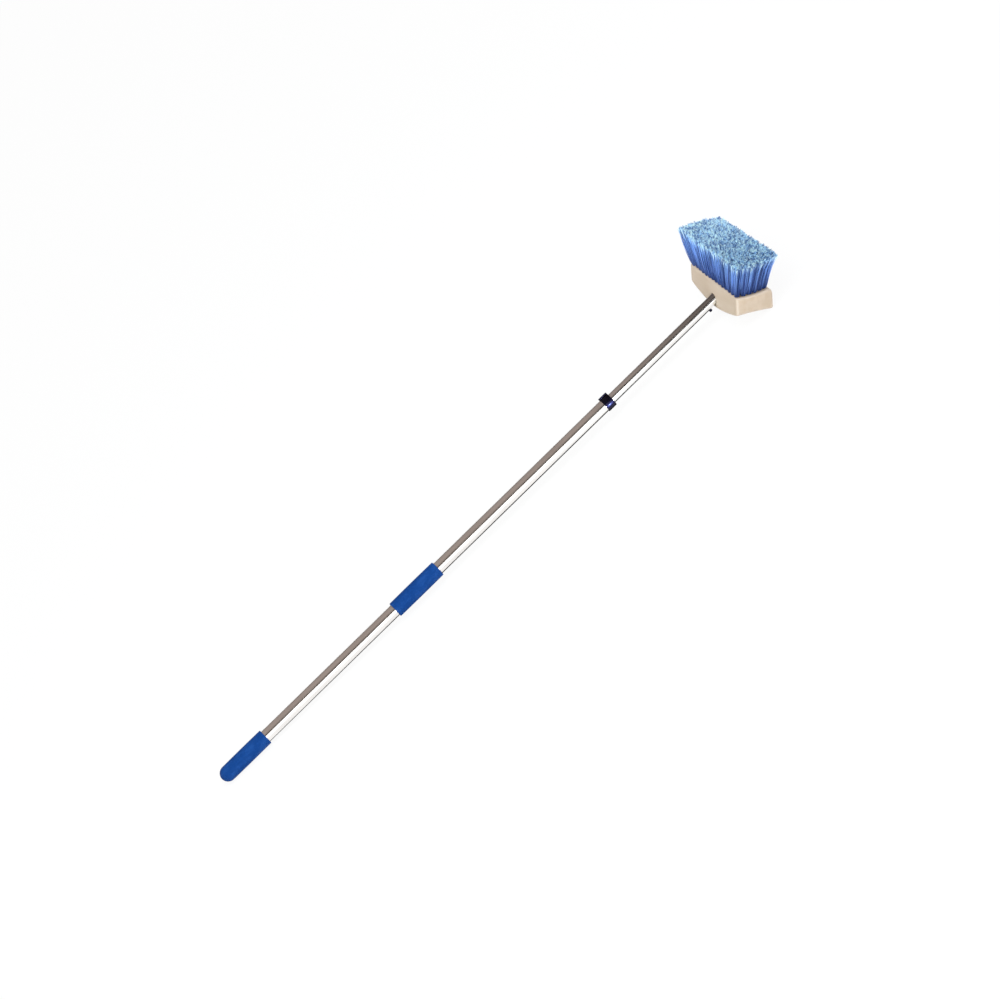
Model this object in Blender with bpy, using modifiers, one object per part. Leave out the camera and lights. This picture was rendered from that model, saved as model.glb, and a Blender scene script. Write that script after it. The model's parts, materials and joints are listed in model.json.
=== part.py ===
"""Car wash brush: a telescoping pole with a twist lock, and a bristled wash head on its end.

Metres, +Z up. The brush lies on the floor with its bristles up: it stands on the round end of the
bottom grip and on a flat along the block's lower back edge. The origin is on the floor, under the
middle of the length. The pole runs along +X, and rises a little towards the head.
"""

import math

import bmesh
import bpy
from mathutils import Matrix, Vector

OBJECT_NAME = "car_wash_brush"

# Fits shared by all pieces
GAP = 0.0003
SLIDE_CLEARANCE = 0.00035
CUT_OVERRUN = 0.004
MERGE_DISTANCE = 0.00001
ROUND_STEPS = 40
HIDDEN_STEPS = 32
SMALL_STEPS = 24
RIM_STEPS = 3
NUT_SIDES = 6
SHARP_ANGLE = math.radians(35)

# Outer tube and the pieces fixed on it, measured along the pole from the end of the bottom grip
OUTER_RADIUS = 0.015875
OUTER_WALL = 0.00125
OUTER_LENGTH = 1.2673
GRIP_WALL = 0.0041
GRIP_END_WALL = 0.0145
GRIP_RIM = 0.0012
GRIP_END_STEPS = 9
BOTTOM_GRIP_LENGTH = 0.144
MID_GRIP_START = 0.573
MID_GRIP_LENGTH = 0.1415
END_PLUG_FLANGE = 0.003
END_PLUG_DEPTH = 0.022
END_PLUG_WALL = 0.0035
BUSH_WALL = 0.00145
BUSH_LENGTH = 0.04
BUSH_LIP = 0.0016
COLLAR_WALL = 0.0022
COLLAR_LIP = 0.0052
COLLAR_ROUND = 0.0012
COLLAR_PAD_WIDTH = 0.017
COLLAR_PAD_RISE = 0.0025
COLLAR_PAD_ROUND = 0.001
PAD_ROUND_STEPS = 2
COLLAR_SCREW_INSET = 0.0046
COLLAR_SCREW_RADIUS = 0.0021
COLLAR_SCREW_HEAD = 0.0036
COLLAR_SCREW_HEAD_DEPTH = 0.0012
SCREW_SLOT_WIDTH = 0.0009
SCREW_SLOT_DEPTH = 0.0006

# Inner tube and the twist lock on its lower end
INNER_WALL = 0.0011
INNER_LENGTH = 0.93
INNER_SHOWN = 0.3403
PLUG_FLANGE = 0.006
PLUG_PIN_WALL = 0.0008
PLUG_PAST_PIN = 0.011
PIN_RADIUS = 0.002
PIN_SHORT_OF_TUBE = 0.0003
STUD_RADIUS = 0.004
STUD_IN_PLUG = 0.02
SLEEVE_FLARE = 0.014
SLEEVE_ARM = 0.016
SLEEVE_NECK = 0.016
SLEEVE_LIP = 0.0016
SLEEVE_SLOT_WIDTH = 0.002
CONE_NOSE_WALL = 0.0028
CONE_RIM_CLEARANCE = 0.0014
CONE_BACK_RUN = 0.004
LOCK_PITCH = 0.003
STOP_NUT_ROOM = 0.0012
STOP_NUT_RADIUS = 0.0072
STOP_NUT_LENGTH = 0.006
STUD_END = 0.003

# Snap button near the head
BUTTON_BACK = 0.0228
BUTTON_RADIUS = 0.0039
BUTTON_RISE = 0.0054
BUTTON_DOME = 0.0013
DOME_STEPS = 4
BUTTON_FLANGE = 0.0014
BUTTON_FLANGE_LAP = 0.0012
BUTTON_CLEARANCE = 0.0004
BUTTON_TURN = math.radians(-37)
SPRING_THICKNESS = 0.0008
SPRING_WIDTH = 0.006
SPRING_REACH = 0.026
SPRING_TAIL = 0.006
SPRING_BEND_SHARE = 0.78
SPRING_WAIST_SHARE = 0.55

# Fitting at the head end of the inner tube
SOCKET_DEPTH = 0.038
TIP_FLANGE = 0.003
TIP_PIN_FROM_END = 0.017
TIP_PAST_PIN = 0.011
TIP_NOSE_RADIUS = 0.0092
TIP_NOSE_LENGTH = 0.018
TIP_THREADS = 4
TIP_THREAD_DEPTH = 0.001
SOCKET_CLEARANCE = 0.0006
SOCKET_ROOF = 0.0055

# Brush block, in the head's frame: X from the socket side to the back, Y along it, Z to the bristles
HEAD_ANGLE = math.radians(31.4)
BLOCK_HALF_LENGTH = 0.111
BLOCK_TOP_DEPTH = 0.0945
BLOCK_BACK_FLARE = 0.0075
BLOCK_END_BOW = 0.007
BLOCK_FRONT_RELIEF = 0.002
BLOCK_END_HEIGHT = 0.0495
BLOCK_END_RISE = 0.006
BLOCK_KEEL_DROP = 0.0205
BLOCK_BACK_DROP = 0.009
BLOCK_UNDER_ARCH = 0.003
BLOCK_ROUND = 0.004
BLOCK_ROUND_STEPS = 3
BLOCK_EDGE_ANGLE = math.radians(50)
REST_CUT = 0.003
KEEL_ROUND_SHARE = 0.45
BACK_LEVEL_SHARE = 0.5
BACK_FADE_SHARE = 0.25
BACK_SHOULDER_SHARE = 0.3
END_ROUND_SHARE = 0.24
BELLY_TOP_SHARE = 0.25
BOW_AT_BASE_SHARE = 0.3
SPAN_SHARE = 2
LONG_SHARES = (-0.94, -0.86, -0.76, -0.64, -0.5, -0.38, -0.26, -0.15, -0.07, 0.0,
               0.07, 0.15, 0.26, 0.38, 0.5, 0.64, 0.76, 0.86, 0.94)
CROSS_SHARES = (-0.6, -0.2, 0.2, 0.6)
HEIGHT_SHARES = (-0.5, 0.0, 0.4, 0.7)

# Bristle trim
RIM_SIDE = 0.003
RIM_END = 0.0075
ROW_COUNT = 6
TUFT_COUNT = 14
SLAB_PIECES = 8
SLICE_THICKNESS = 0.0032
TRIM_HEIGHT = 0.0935
TRIM_DOME = 0.004
FLARE_LONG = 0.029
FLARE_CROSS = 0.013
STRAND_SIDES = 3
STRAND_ROOT_DEPTH = 0.001
STRAND_ROOT_SHARE = 0.21
STRAND_TIP_SHARE = 0.375
ROOT_SPREAD_SHARE = 0.36
TIP_SPREAD_SHARE = 0.68
STRAND_PLACE_SHARES = ((0.0, 0.0), (-1.0, -1.0), (-1.0, 1.0), (1.0, -1.0), (1.0, 1.0))

# Worked out from the sizes above
OUTER_BORE = OUTER_RADIUS - OUTER_WALL
GRIP_RADIUS = OUTER_RADIUS + GAP + GRIP_WALL
OUTER_START = GRIP_END_WALL + GAP + END_PLUG_FLANGE + GAP
OUTER_END = OUTER_START + OUTER_LENGTH
BUSH_RADIUS = OUTER_BORE - GAP
INNER_RADIUS = BUSH_RADIUS - BUSH_WALL - SLIDE_CLEARANCE
INNER_BORE = INNER_RADIUS - INNER_WALL
COLLAR_RADIUS = OUTER_RADIUS + GAP + COLLAR_WALL
COLLAR_END = OUTER_END + GAP + BUSH_LIP + GAP + COLLAR_LIP
COLLAR_SCREW_AT = OUTER_END - COLLAR_SCREW_INSET
COLLAR_START = 2 * COLLAR_SCREW_AT - COLLAR_END
MOUTH_AT = COLLAR_END + INNER_SHOWN
INNER_END = MOUTH_AT + SOCKET_DEPTH
INNER_START = INNER_END - INNER_LENGTH
PLUG_FACE = INNER_START - GAP - PLUG_FLANGE
PLUG_PIN_AT = PLUG_FACE + STUD_IN_PLUG + GAP + PLUG_PIN_WALL + GAP + PIN_RADIUS
TIP_PIN_AT = INNER_END - TIP_PIN_FROM_END
SLEEVE_END = PLUG_FACE - GAP
SLEEVE_START = SLEEVE_END - SLEEVE_NECK - SLEEVE_ARM - SLEEVE_FLARE
SLEEVE_BORE = STUD_RADIUS + GAP + CONE_NOSE_WALL + GAP
CONE_SLOPE = (OUTER_BORE - GAP - SLEEVE_LIP - SLEEVE_BORE) / SLEEVE_FLARE
CONE_NOSE_RADIUS = SLEEVE_BORE - GAP
CONE_WIDE_RADIUS = OUTER_BORE - CONE_RIM_CLEARANCE
CONE_END = SLEEVE_START + SLEEVE_FLARE - GAP
CONE_WIDE_AT = CONE_END - (CONE_WIDE_RADIUS - CONE_NOSE_RADIUS) / CONE_SLOPE
CONE_START = CONE_WIDE_AT - CONE_BACK_RUN
STOP_NUT_END = CONE_START - LOCK_PITCH - STOP_NUT_ROOM
STOP_NUT_START = STOP_NUT_END - STOP_NUT_LENGTH
STUD_START = STOP_NUT_START - STUD_END
BUTTON_AT = MOUTH_AT - BUTTON_BACK
SOCKET_END = SOCKET_DEPTH + GAP + TIP_FLANGE + GAP
NOSE_END = SOCKET_DEPTH + GAP + TIP_FLANGE + TIP_NOSE_LENGTH + GAP
NOSE_TOP = NOSE_END * math.sin(HEAD_ANGLE) + (TIP_NOSE_RADIUS + GAP) * math.cos(HEAD_ANGLE)
BLOCK_TOP = NOSE_TOP + SOCKET_ROOF + SLICE_THICKNESS + GAP
BLOCK_END_BASE = BLOCK_TOP - BLOCK_END_HEIGHT
TRIM_FRONT = RIM_SIDE + BLOCK_FRONT_RELIEF * (1 - BELLY_TOP_SHARE)
TRIM_BACK = BLOCK_TOP_DEPTH - RIM_SIDE
TRIM_MIDDLE = (TRIM_FRONT + TRIM_BACK) / 2
TRIM_HALF_DEPTH = (TRIM_BACK - TRIM_FRONT) / 2
TRIM_HALF_LENGTH = BLOCK_HALF_LENGTH - RIM_END
CELL_HALF_DEPTH = TRIM_HALF_DEPTH / ROW_COUNT
CELL_HALF_LENGTH = TRIM_HALF_LENGTH / TUFT_COUNT
CELL_HALF_MEAN = (CELL_HALF_DEPTH + CELL_HALF_LENGTH) / 2


def keel_profile(along_share):
    """1 in the middle of the block, 0 at its ends, falling in a rounded V."""
    reach = math.hypot(along_share, KEEL_ROUND_SHARE) - KEEL_ROUND_SHARE
    return 1 - reach / (math.hypot(1, KEEL_ROUND_SHARE) - KEEL_ROUND_SHARE)


def back_profile(along_share):
    """1 over the level middle of the lower back edge, a little less towards the block's ends."""
    past = max(0.0, abs(along_share) - BACK_LEVEL_SHARE) / (1 - BACK_LEVEL_SHARE)
    return 1 - BACK_FADE_SHARE * past * past


def end_profile(along_share):
    """0 along the block's base, rising to 1 round its lower end corners."""
    past = max(0.0, abs(along_share) - 1 + END_ROUND_SHARE) / END_ROUND_SHARE
    return 1 - math.sqrt(1 - past * past)


def block_point(along_share, cross_share, height_share):
    """A point of the block in the head's frame, from three shares that run from -1 to 1."""
    back_share = (cross_share + 1) / 2
    low_share = (1 - height_share) / 2
    belly_share = BELLY_TOP_SHARE + (1 - BELLY_TOP_SHARE) * min(1.0, 2 * low_share)
    front = BLOCK_FRONT_RELIEF * (1 - keel_profile(along_share) * belly_share)
    below_shoulder = 1 - min(1.0, low_share / BACK_SHOULDER_SHARE)
    back = BLOCK_TOP_DEPTH + BLOCK_BACK_FLARE * (1 - below_shoulder * below_shoulder)
    drop = (1 - back_share) * BLOCK_KEEL_DROP * keel_profile(along_share)
    drop += back_share * BLOCK_BACK_DROP * back_profile(along_share)
    arch = BLOCK_UNDER_ARCH * (1 - cross_share * cross_share)
    rise = (1 - back_share) * BLOCK_END_RISE * end_profile(along_share)
    base = BLOCK_END_BASE + rise - drop + arch
    bow_share = BOW_AT_BASE_SHARE + (1 - BOW_AT_BASE_SHARE) * (1 - low_share)
    bow = BLOCK_END_BOW * (1 - cross_share * cross_share) * bow_share
    return Vector((
        front + (back - front) * back_share,
        along_share * (BLOCK_HALF_LENGTH + bow),
        base + (BLOCK_TOP - base) * (1 - low_share),
    ))


# The brush rolls back until the grip's round end and the block's lower back edge share the floor
HEAD_IN_POLE = (
    Matrix.Translation((0, 0, MOUTH_AT)) @ Matrix.Rotation(HEAD_ANGLE - math.pi / 2, 4, "Y")
)
POLE_LEVEL = Matrix.Rotation(math.pi / 2, 4, "Y")
REST_EDGE = POLE_LEVEL @ HEAD_IN_POLE @ block_point(0, 1, -1)
REST_REACH = math.hypot(REST_EDGE.x - GRIP_RADIUS, REST_EDGE.z)
REST_DROP = math.atan2(-REST_EDGE.z, REST_EDGE.x - GRIP_RADIUS)
LYING_TILT = REST_DROP - math.asin((GRIP_RADIUS + REST_CUT) / REST_REACH)
HEAD_IN_WORLD = Matrix.Rotation(-LYING_TILT, 4, "Y") @ POLE_LEVEL @ HEAD_IN_POLE


def clear_scene():
    for item in list(bpy.data.objects):
        bpy.data.objects.remove(item, do_unlink=True)


def new_collection(name):
    group = bpy.data.collections.new(name)
    bpy.context.scene.collection.children.link(group)
    return group


def make_material(name, colour, roughness, metallic=0.0):
    material = bpy.data.materials.new(name)
    material.use_nodes = True
    shader = material.node_tree.nodes["Principled BSDF"]
    shader.inputs["Base Color"].default_value = (*colour, 1.0)
    shader.inputs["Roughness"].default_value = roughness
    shader.inputs["Metallic"].default_value = metallic
    return material


clear_scene()
PARTS = new_collection(OBJECT_NAME)
CUTTERS = new_collection("cutters")


def make_empty(name, parent, location=(0, 0, 0), rotation=(0, 0, 0)):
    empty = bpy.data.objects.new(name, None)
    empty.empty_display_size = OUTER_RADIUS
    PARTS.objects.link(empty)
    empty.parent = parent
    empty.location = location
    empty.rotation_euler = rotation
    return empty


def make_part(name, mesh, parent, material, location=(0, 0, 0), rotation=(0, 0, 0)):
    part = bpy.data.objects.new(name, mesh)
    PARTS.objects.link(part)
    part.parent = parent
    part.location = location
    part.rotation_euler = rotation
    mesh.materials.clear()
    mesh.materials.append(material)
    return part


def make_cutter(name, mesh, parent, location=(0, 0, 0), rotation=(0, 0, 0)):
    cutter = bpy.data.objects.new(name, mesh)
    CUTTERS.objects.link(cutter)
    cutter.parent = parent
    cutter.location = location
    cutter.rotation_euler = rotation
    cutter.hide_render = True
    cutter.display_type = "WIRE"
    return cutter


def combine(part, operand, operation="DIFFERENCE"):
    """Cut the operand out of the part, or fuse it on."""
    boolean = part.modifiers.new(f"{operation.lower()} {operand.name}", "BOOLEAN")
    boolean.object = operand
    boolean.operation = operation
    boolean.solver = "EXACT"


def smooth_rounds(mesh):
    mesh.shade_smooth()
    mesh.set_sharp_from_angle(angle=SHARP_ANGLE)
    return mesh


def arc_points(centre, radius, start, end, count):
    """Points of an arc as (radius from the axis, height), angles in degrees from the radial line."""
    points = []
    for step in range(count + 1):
        angle = math.radians(start + (end - start) * step / count)
        points.append((centre[0] + radius * math.cos(angle), centre[1] + radius * math.sin(angle)))
    return points


def turned_mesh(name, profile, closed, steps):
    """Turn (radius, height) points about Z. An open profile starts and ends on the axis."""
    mesh = bpy.data.meshes.new(name)
    count = len(profile)
    edges = [(i, i + 1) for i in range(count - 1)]
    if closed:
        edges.append((count - 1, 0))
    mesh.from_pydata([(radius, 0, height) for radius, height in profile], edges, [])
    carrier = bpy.data.objects.new(name, mesh)
    PARTS.objects.link(carrier)
    screw = carrier.modifiers.new("turn", "SCREW")
    screw.axis = "Z"
    screw.steps = steps
    screw.render_steps = steps
    screw.use_merge_vertices = True
    screw.merge_threshold = MERGE_DISTANCE
    view = bpy.context.evaluated_depsgraph_get()
    solid = bpy.data.meshes.new_from_object(carrier.evaluated_get(view))
    solid.name = name
    bpy.data.objects.remove(carrier, do_unlink=True)
    return smooth_rounds(solid)


def make_ring(name, profile, parent, material, steps=ROUND_STEPS):
    """A turned piece with a bore: its profile runs down the outside and up the bore."""
    return make_part(name, turned_mesh(name, profile, True, steps), parent, material)


def make_turned(name, profile, parent, material, steps=ROUND_STEPS):
    """A turned piece that closes on the axis."""
    return make_part(name, turned_mesh(name, profile, False, steps), parent, material)


def rod_mesh(name, radius, low, high, sides=SMALL_STEPS):
    """A closed cylinder or prism about Z between two heights."""
    form = bmesh.new()
    bmesh.ops.create_cone(
        form, cap_ends=True, segments=sides, radius1=radius, radius2=radius, depth=high - low,
        matrix=Matrix.Translation((0, 0, (low + high) / 2)),
    )
    mesh = bpy.data.meshes.new(name)
    form.to_mesh(mesh)
    form.free()
    return smooth_rounds(mesh)


def box_mesh(name, low, high):
    """A closed box between two corners."""
    form = bmesh.new()
    size = [b - a for a, b in zip(low, high)]
    centre = [(a + b) / 2 for a, b in zip(low, high)]
    bmesh.ops.create_cube(form, size=1, matrix=Matrix.LocRotScale(centre, None, size))
    mesh = bpy.data.meshes.new(name)
    form.to_mesh(mesh)
    form.free()
    return mesh


def gridded_cube(cuts_by_axis):
    """A cube from -1 to 1, cut by planes at the given places along X, Y and Z."""
    form = bmesh.new()
    bmesh.ops.create_cube(form, size=SPAN_SHARE)
    for axis, cuts in enumerate(cuts_by_axis):
        normal = [float(axis == i) for i in range(3)]
        for cut in cuts:
            everything = form.verts[:] + form.edges[:] + form.faces[:]
            point = [cut * part for part in normal]
            bmesh.ops.bisect_plane(form, geom=everything, plane_co=point, plane_no=normal)
    return form


# The frames that carry the pieces
LYING = make_empty("lying_pose", None, rotation=(0, -LYING_TILT, 0))
POLE = make_empty("pole_axis", LYING, rotation=(0, math.pi / 2, 0))
HEAD = make_empty("head_frame", POLE, (0, 0, MOUTH_AT), (0, HEAD_ANGLE - math.pi / 2, 0))
BUTTON_LINE = make_empty("button_line", POLE, (0, 0, BUTTON_AT), (0, math.pi / 2, BUTTON_TURN))
PAD_LINE = make_empty(
    "collar_pad_line", POLE, (0, 0, COLLAR_SCREW_AT), (0, math.pi / 2, BUTTON_TURN + math.pi),
)

ALUMINIUM = (0.80, 0.80, 0.81)
GRIP_BLUE = (0.022, 0.095, 0.34)
BRISTLE_BLUE = (0.09, 0.20, 0.60)
CREAM = (0.76, 0.68, 0.55)
BLACK = (0.012, 0.012, 0.013)
NYLON = (0.78, 0.77, 0.72)
STEEL = (0.55, 0.55, 0.56)


def make_outer_tube():
    profile = [(OUTER_RADIUS, OUTER_END), (OUTER_RADIUS, OUTER_START),
               (OUTER_BORE, OUTER_START), (OUTER_BORE, OUTER_END)]
    metal = make_material("outer_aluminium", ALUMINIUM, 0.22, 1.0)
    tube = make_ring("outer_tube", profile, POLE, metal)
    screw_hole = rod_mesh("collar_screw_hole_cut", COLLAR_SCREW_RADIUS + GAP,
                          OUTER_BORE - CUT_OVERRUN, OUTER_RADIUS + CUT_OVERRUN)
    combine(tube, make_cutter("collar_screw_hole_cut", screw_hole, PAD_LINE))


def make_end_plug():
    body = OUTER_BORE - GAP
    low = GRIP_END_WALL + GAP
    top = OUTER_START + END_PLUG_DEPTH
    profile = [(0, low + END_PLUG_FLANGE), (body - END_PLUG_WALL, low + END_PLUG_FLANGE),
               (body - END_PLUG_WALL, top), (body, top),
               (body, low + END_PLUG_FLANGE), (OUTER_RADIUS, low + END_PLUG_FLANGE),
               (OUTER_RADIUS, low), (0, low)]
    make_turned("end_plug", profile, POLE, make_material("plug_black", BLACK, 0.5), HIDDEN_STEPS)


def make_grips():
    bore = OUTER_RADIUS + GAP
    rim_centre = (GRIP_RADIUS - GRIP_RIM, BOTTOM_GRIP_LENGTH - GRIP_RIM)
    rim = arc_points(rim_centre, GRIP_RIM, 90, 0, RIM_STEPS)
    end = arc_points((0, GRIP_RADIUS), GRIP_RADIUS, 0, -90, GRIP_END_STEPS)
    end[-1] = (0, 0)
    profile = [(0, GRIP_END_WALL), (bore, GRIP_END_WALL), (bore, BOTTOM_GRIP_LENGTH), *rim, *end]
    make_turned("bottom_grip", profile, POLE, make_material("bottom_grip_blue", GRIP_BLUE, 0.6))

    low = MID_GRIP_START
    top = MID_GRIP_START + MID_GRIP_LENGTH
    upper = arc_points((GRIP_RADIUS - GRIP_RIM, top - GRIP_RIM), GRIP_RIM, 90, 0, RIM_STEPS)
    lower = arc_points((GRIP_RADIUS - GRIP_RIM, low + GRIP_RIM), GRIP_RIM, 0, -90, RIM_STEPS)
    profile = [*upper, *lower, (bore, low), (bore, top)]
    make_ring("mid_grip", profile, POLE, make_material("mid_grip_blue", GRIP_BLUE, 0.6))


def make_guide_bush():
    bore = INNER_RADIUS + SLIDE_CLEARANCE
    lip_low = OUTER_END + GAP
    profile = [(OUTER_RADIUS, lip_low + BUSH_LIP), (OUTER_RADIUS, lip_low), (BUSH_RADIUS, lip_low),
               (BUSH_RADIUS, OUTER_END - BUSH_LENGTH), (bore, OUTER_END - BUSH_LENGTH),
               (bore, lip_low + BUSH_LIP)]
    bush = make_ring("guide_bush", profile, POLE, make_material("bush_nylon", NYLON, 0.45))
    screw_hole = rod_mesh("bush_screw_hole_cut", COLLAR_SCREW_RADIUS + GAP,
                          bore - CUT_OVERRUN, BUSH_RADIUS + CUT_OVERRUN)
    combine(bush, make_cutter("bush_screw_hole_cut", screw_hole, PAD_LINE))


def make_collar():
    bore = OUTER_RADIUS + GAP
    lip_bore = INNER_RADIUS + SLIDE_CLEARANCE
    shoulder = COLLAR_END - COLLAR_LIP
    edge = COLLAR_RADIUS - COLLAR_ROUND
    upper = arc_points((edge, COLLAR_END - COLLAR_ROUND), COLLAR_ROUND, 90, 0, RIM_STEPS)
    lower = arc_points((edge, COLLAR_START + COLLAR_ROUND), COLLAR_ROUND, 0, -90, RIM_STEPS)
    profile = [*upper, *lower, (bore, COLLAR_START), (bore, shoulder), (lip_bore, shoulder),
               (lip_bore, COLLAR_END)]
    collar = make_ring("guide_collar", profile, POLE, make_material("collar_black", BLACK, 0.25))

    pad_top = COLLAR_RADIUS + COLLAR_PAD_RISE
    root = OUTER_RADIUS + GAP + COLLAR_WALL / 2
    half_run = (COLLAR_END - COLLAR_START) / 2
    half_width = COLLAR_PAD_WIDTH / 2
    pad_form = box_mesh("collar_pad", (-half_run, -half_width, root), (half_run, half_width, pad_top))
    pad = make_cutter("collar_pad", pad_form, PAD_LINE)
    bevel = pad.modifiers.new("rounded edges", "BEVEL")
    bevel.width = COLLAR_PAD_ROUND
    bevel.segments = PAD_ROUND_STEPS
    combine(collar, pad, "UNION")
    clear_bore = rod_mesh("collar_bore_cut", bore, COLLAR_START - CUT_OVERRUN, shoulder, ROUND_STEPS)
    combine(collar, make_cutter("collar_bore_cut", clear_bore, POLE))
    shank = rod_mesh("collar_shank_cut", COLLAR_SCREW_RADIUS + GAP, root - CUT_OVERRUN, pad_top)
    combine(collar, make_cutter("collar_shank_cut", shank, PAD_LINE))
    sink = rod_mesh("collar_sink_cut", COLLAR_SCREW_HEAD + GAP,
                    pad_top - COLLAR_SCREW_HEAD_DEPTH - GAP, pad_top + CUT_OVERRUN)
    combine(collar, make_cutter("collar_sink_cut", sink, PAD_LINE))

    head_low = pad_top - COLLAR_SCREW_HEAD_DEPTH
    tip = BUSH_RADIUS - BUSH_WALL + GAP
    profile = [(0, pad_top), (COLLAR_SCREW_HEAD, pad_top), (COLLAR_SCREW_HEAD, head_low),
               (COLLAR_SCREW_RADIUS, head_low), (COLLAR_SCREW_RADIUS, tip), (0, tip)]
    steel = make_material("screw_steel", STEEL, 0.35, 1.0)
    screw = make_turned("collar_screw", profile, PAD_LINE, steel, SMALL_STEPS)
    across = COLLAR_SCREW_HEAD + CUT_OVERRUN
    slot = box_mesh("screw_slot_cut", (-across, -SCREW_SLOT_WIDTH / 2, pad_top - SCREW_SLOT_DEPTH),
                    (across, SCREW_SLOT_WIDTH / 2, pad_top + CUT_OVERRUN))
    combine(screw, make_cutter("screw_slot_cut", slot, PAD_LINE))


def cross_hole(name, station, radius):
    """A cutter through the whole tube, across the pole along Y."""
    hole = rod_mesh(name, radius, -INNER_RADIUS - CUT_OVERRUN, INNER_RADIUS + CUT_OVERRUN)
    return make_cutter(name, hole, POLE, (0, 0, station), (math.pi / 2, 0, 0))


def make_cross_pin(name, station):
    half = INNER_RADIUS - PIN_SHORT_OF_TUBE
    steel = make_material(f"{name}_steel", STEEL, 0.35, 1.0)
    pin = rod_mesh(name, PIN_RADIUS, -half, half)
    make_part(name, pin, POLE, steel, (0, 0, station), (math.pi / 2, 0, 0))


def make_inner_tube():
    profile = [(INNER_RADIUS, INNER_END), (INNER_RADIUS, INNER_START),
               (INNER_BORE, INNER_START), (INNER_BORE, INNER_END)]
    metal = make_material("inner_aluminium", ALUMINIUM, 0.2, 1.0)
    tube = make_ring("inner_tube", profile, POLE, metal)
    combine(tube, cross_hole("tube_plug_pin_cut", PLUG_PIN_AT, PIN_RADIUS + GAP))
    combine(tube, cross_hole("tube_tip_pin_cut", TIP_PIN_AT, PIN_RADIUS + GAP))
    opening = rod_mesh("button_hole_cut", BUTTON_RADIUS + BUTTON_CLEARANCE,
                       INNER_BORE - CUT_OVERRUN, INNER_RADIUS + CUT_OVERRUN)
    combine(tube, make_cutter("button_hole_cut", opening, BUTTON_LINE))


def make_tube_plug():
    body = INNER_BORE - GAP
    guide = OUTER_BORE - SLIDE_CLEARANCE
    top = PLUG_PIN_AT + PIN_RADIUS + PLUG_PAST_PIN
    flange_top = PLUG_FACE + PLUG_FLANGE
    hole = STUD_RADIUS + GAP
    hole_top = PLUG_FACE + STUD_IN_PLUG + GAP
    profile = [(0, top), (body, top), (body, flange_top), (guide, flange_top), (guide, PLUG_FACE),
               (hole, PLUG_FACE), (hole, hole_top), (0, hole_top)]
    nylon = make_material("plug_nylon", BLACK, 0.45)
    plug = make_turned("tube_plug", profile, POLE, nylon, HIDDEN_STEPS)
    combine(plug, cross_hole("plug_pin_cut", PLUG_PIN_AT, PIN_RADIUS + GAP))
    make_cross_pin("plug_pin", PLUG_PIN_AT)


def make_twist_lock():
    stud_top = PLUG_FACE + STUD_IN_PLUG
    steel = make_material("stud_steel", STEEL, 0.3, 1.0)
    stud = [(0, stud_top), (STUD_RADIUS, stud_top), (STUD_RADIUS, STUD_START), (0, STUD_START)]
    make_turned("lock_stud", stud, POLE, steel, HIDDEN_STEPS)

    outside = OUTER_BORE - GAP
    mouth = outside - SLEEVE_LIP
    profile = [(outside, SLEEVE_END), (outside, SLEEVE_START), (mouth, SLEEVE_START),
               (SLEEVE_BORE, SLEEVE_START + SLEEVE_FLARE), (SLEEVE_BORE, SLEEVE_END)]
    nylon = make_material("sleeve_nylon", NYLON, 0.5)
    sleeve = make_ring("expander_sleeve", profile, POLE, nylon, HIDDEN_STEPS)
    slot_low = SLEEVE_START - CUT_OVERRUN
    slot_end = SLEEVE_START + SLEEVE_FLARE + SLEEVE_ARM
    half = SLEEVE_SLOT_WIDTH / 2
    across = OUTER_BORE + CUT_OVERRUN
    for name, low, high in (
        ("sleeve_slot_cut_1", (-across, -half), (across, half)),
        ("sleeve_slot_cut_2", (-half, -across), (half, across)),
    ):
        slot = box_mesh(name, (*low, slot_low), (*high, slot_end))
        combine(sleeve, make_cutter(name, slot, POLE))

    bore = STUD_RADIUS + GAP
    cone = [(CONE_NOSE_RADIUS, CONE_END), (CONE_WIDE_RADIUS, CONE_WIDE_AT),
            (CONE_WIDE_RADIUS, CONE_START), (bore, CONE_START), (bore, CONE_END)]
    make_ring("cone_nut", cone, POLE, make_material("cone_nylon", BLACK, 0.4), HIDDEN_STEPS)

    nut_steel = make_material("stop_nut_steel", STEEL, 0.35, 1.0)
    hexagon = rod_mesh("stop_nut", STOP_NUT_RADIUS, STOP_NUT_START, STOP_NUT_END, NUT_SIDES)
    nut = make_part("stop_nut", hexagon, POLE, nut_steel)
    nut_bore = rod_mesh("stop_nut_bore_cut", bore, STOP_NUT_START - CUT_OVERRUN,
                        STOP_NUT_END + CUT_OVERRUN)
    combine(nut, make_cutter("stop_nut_bore_cut", nut_bore, POLE))


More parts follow.
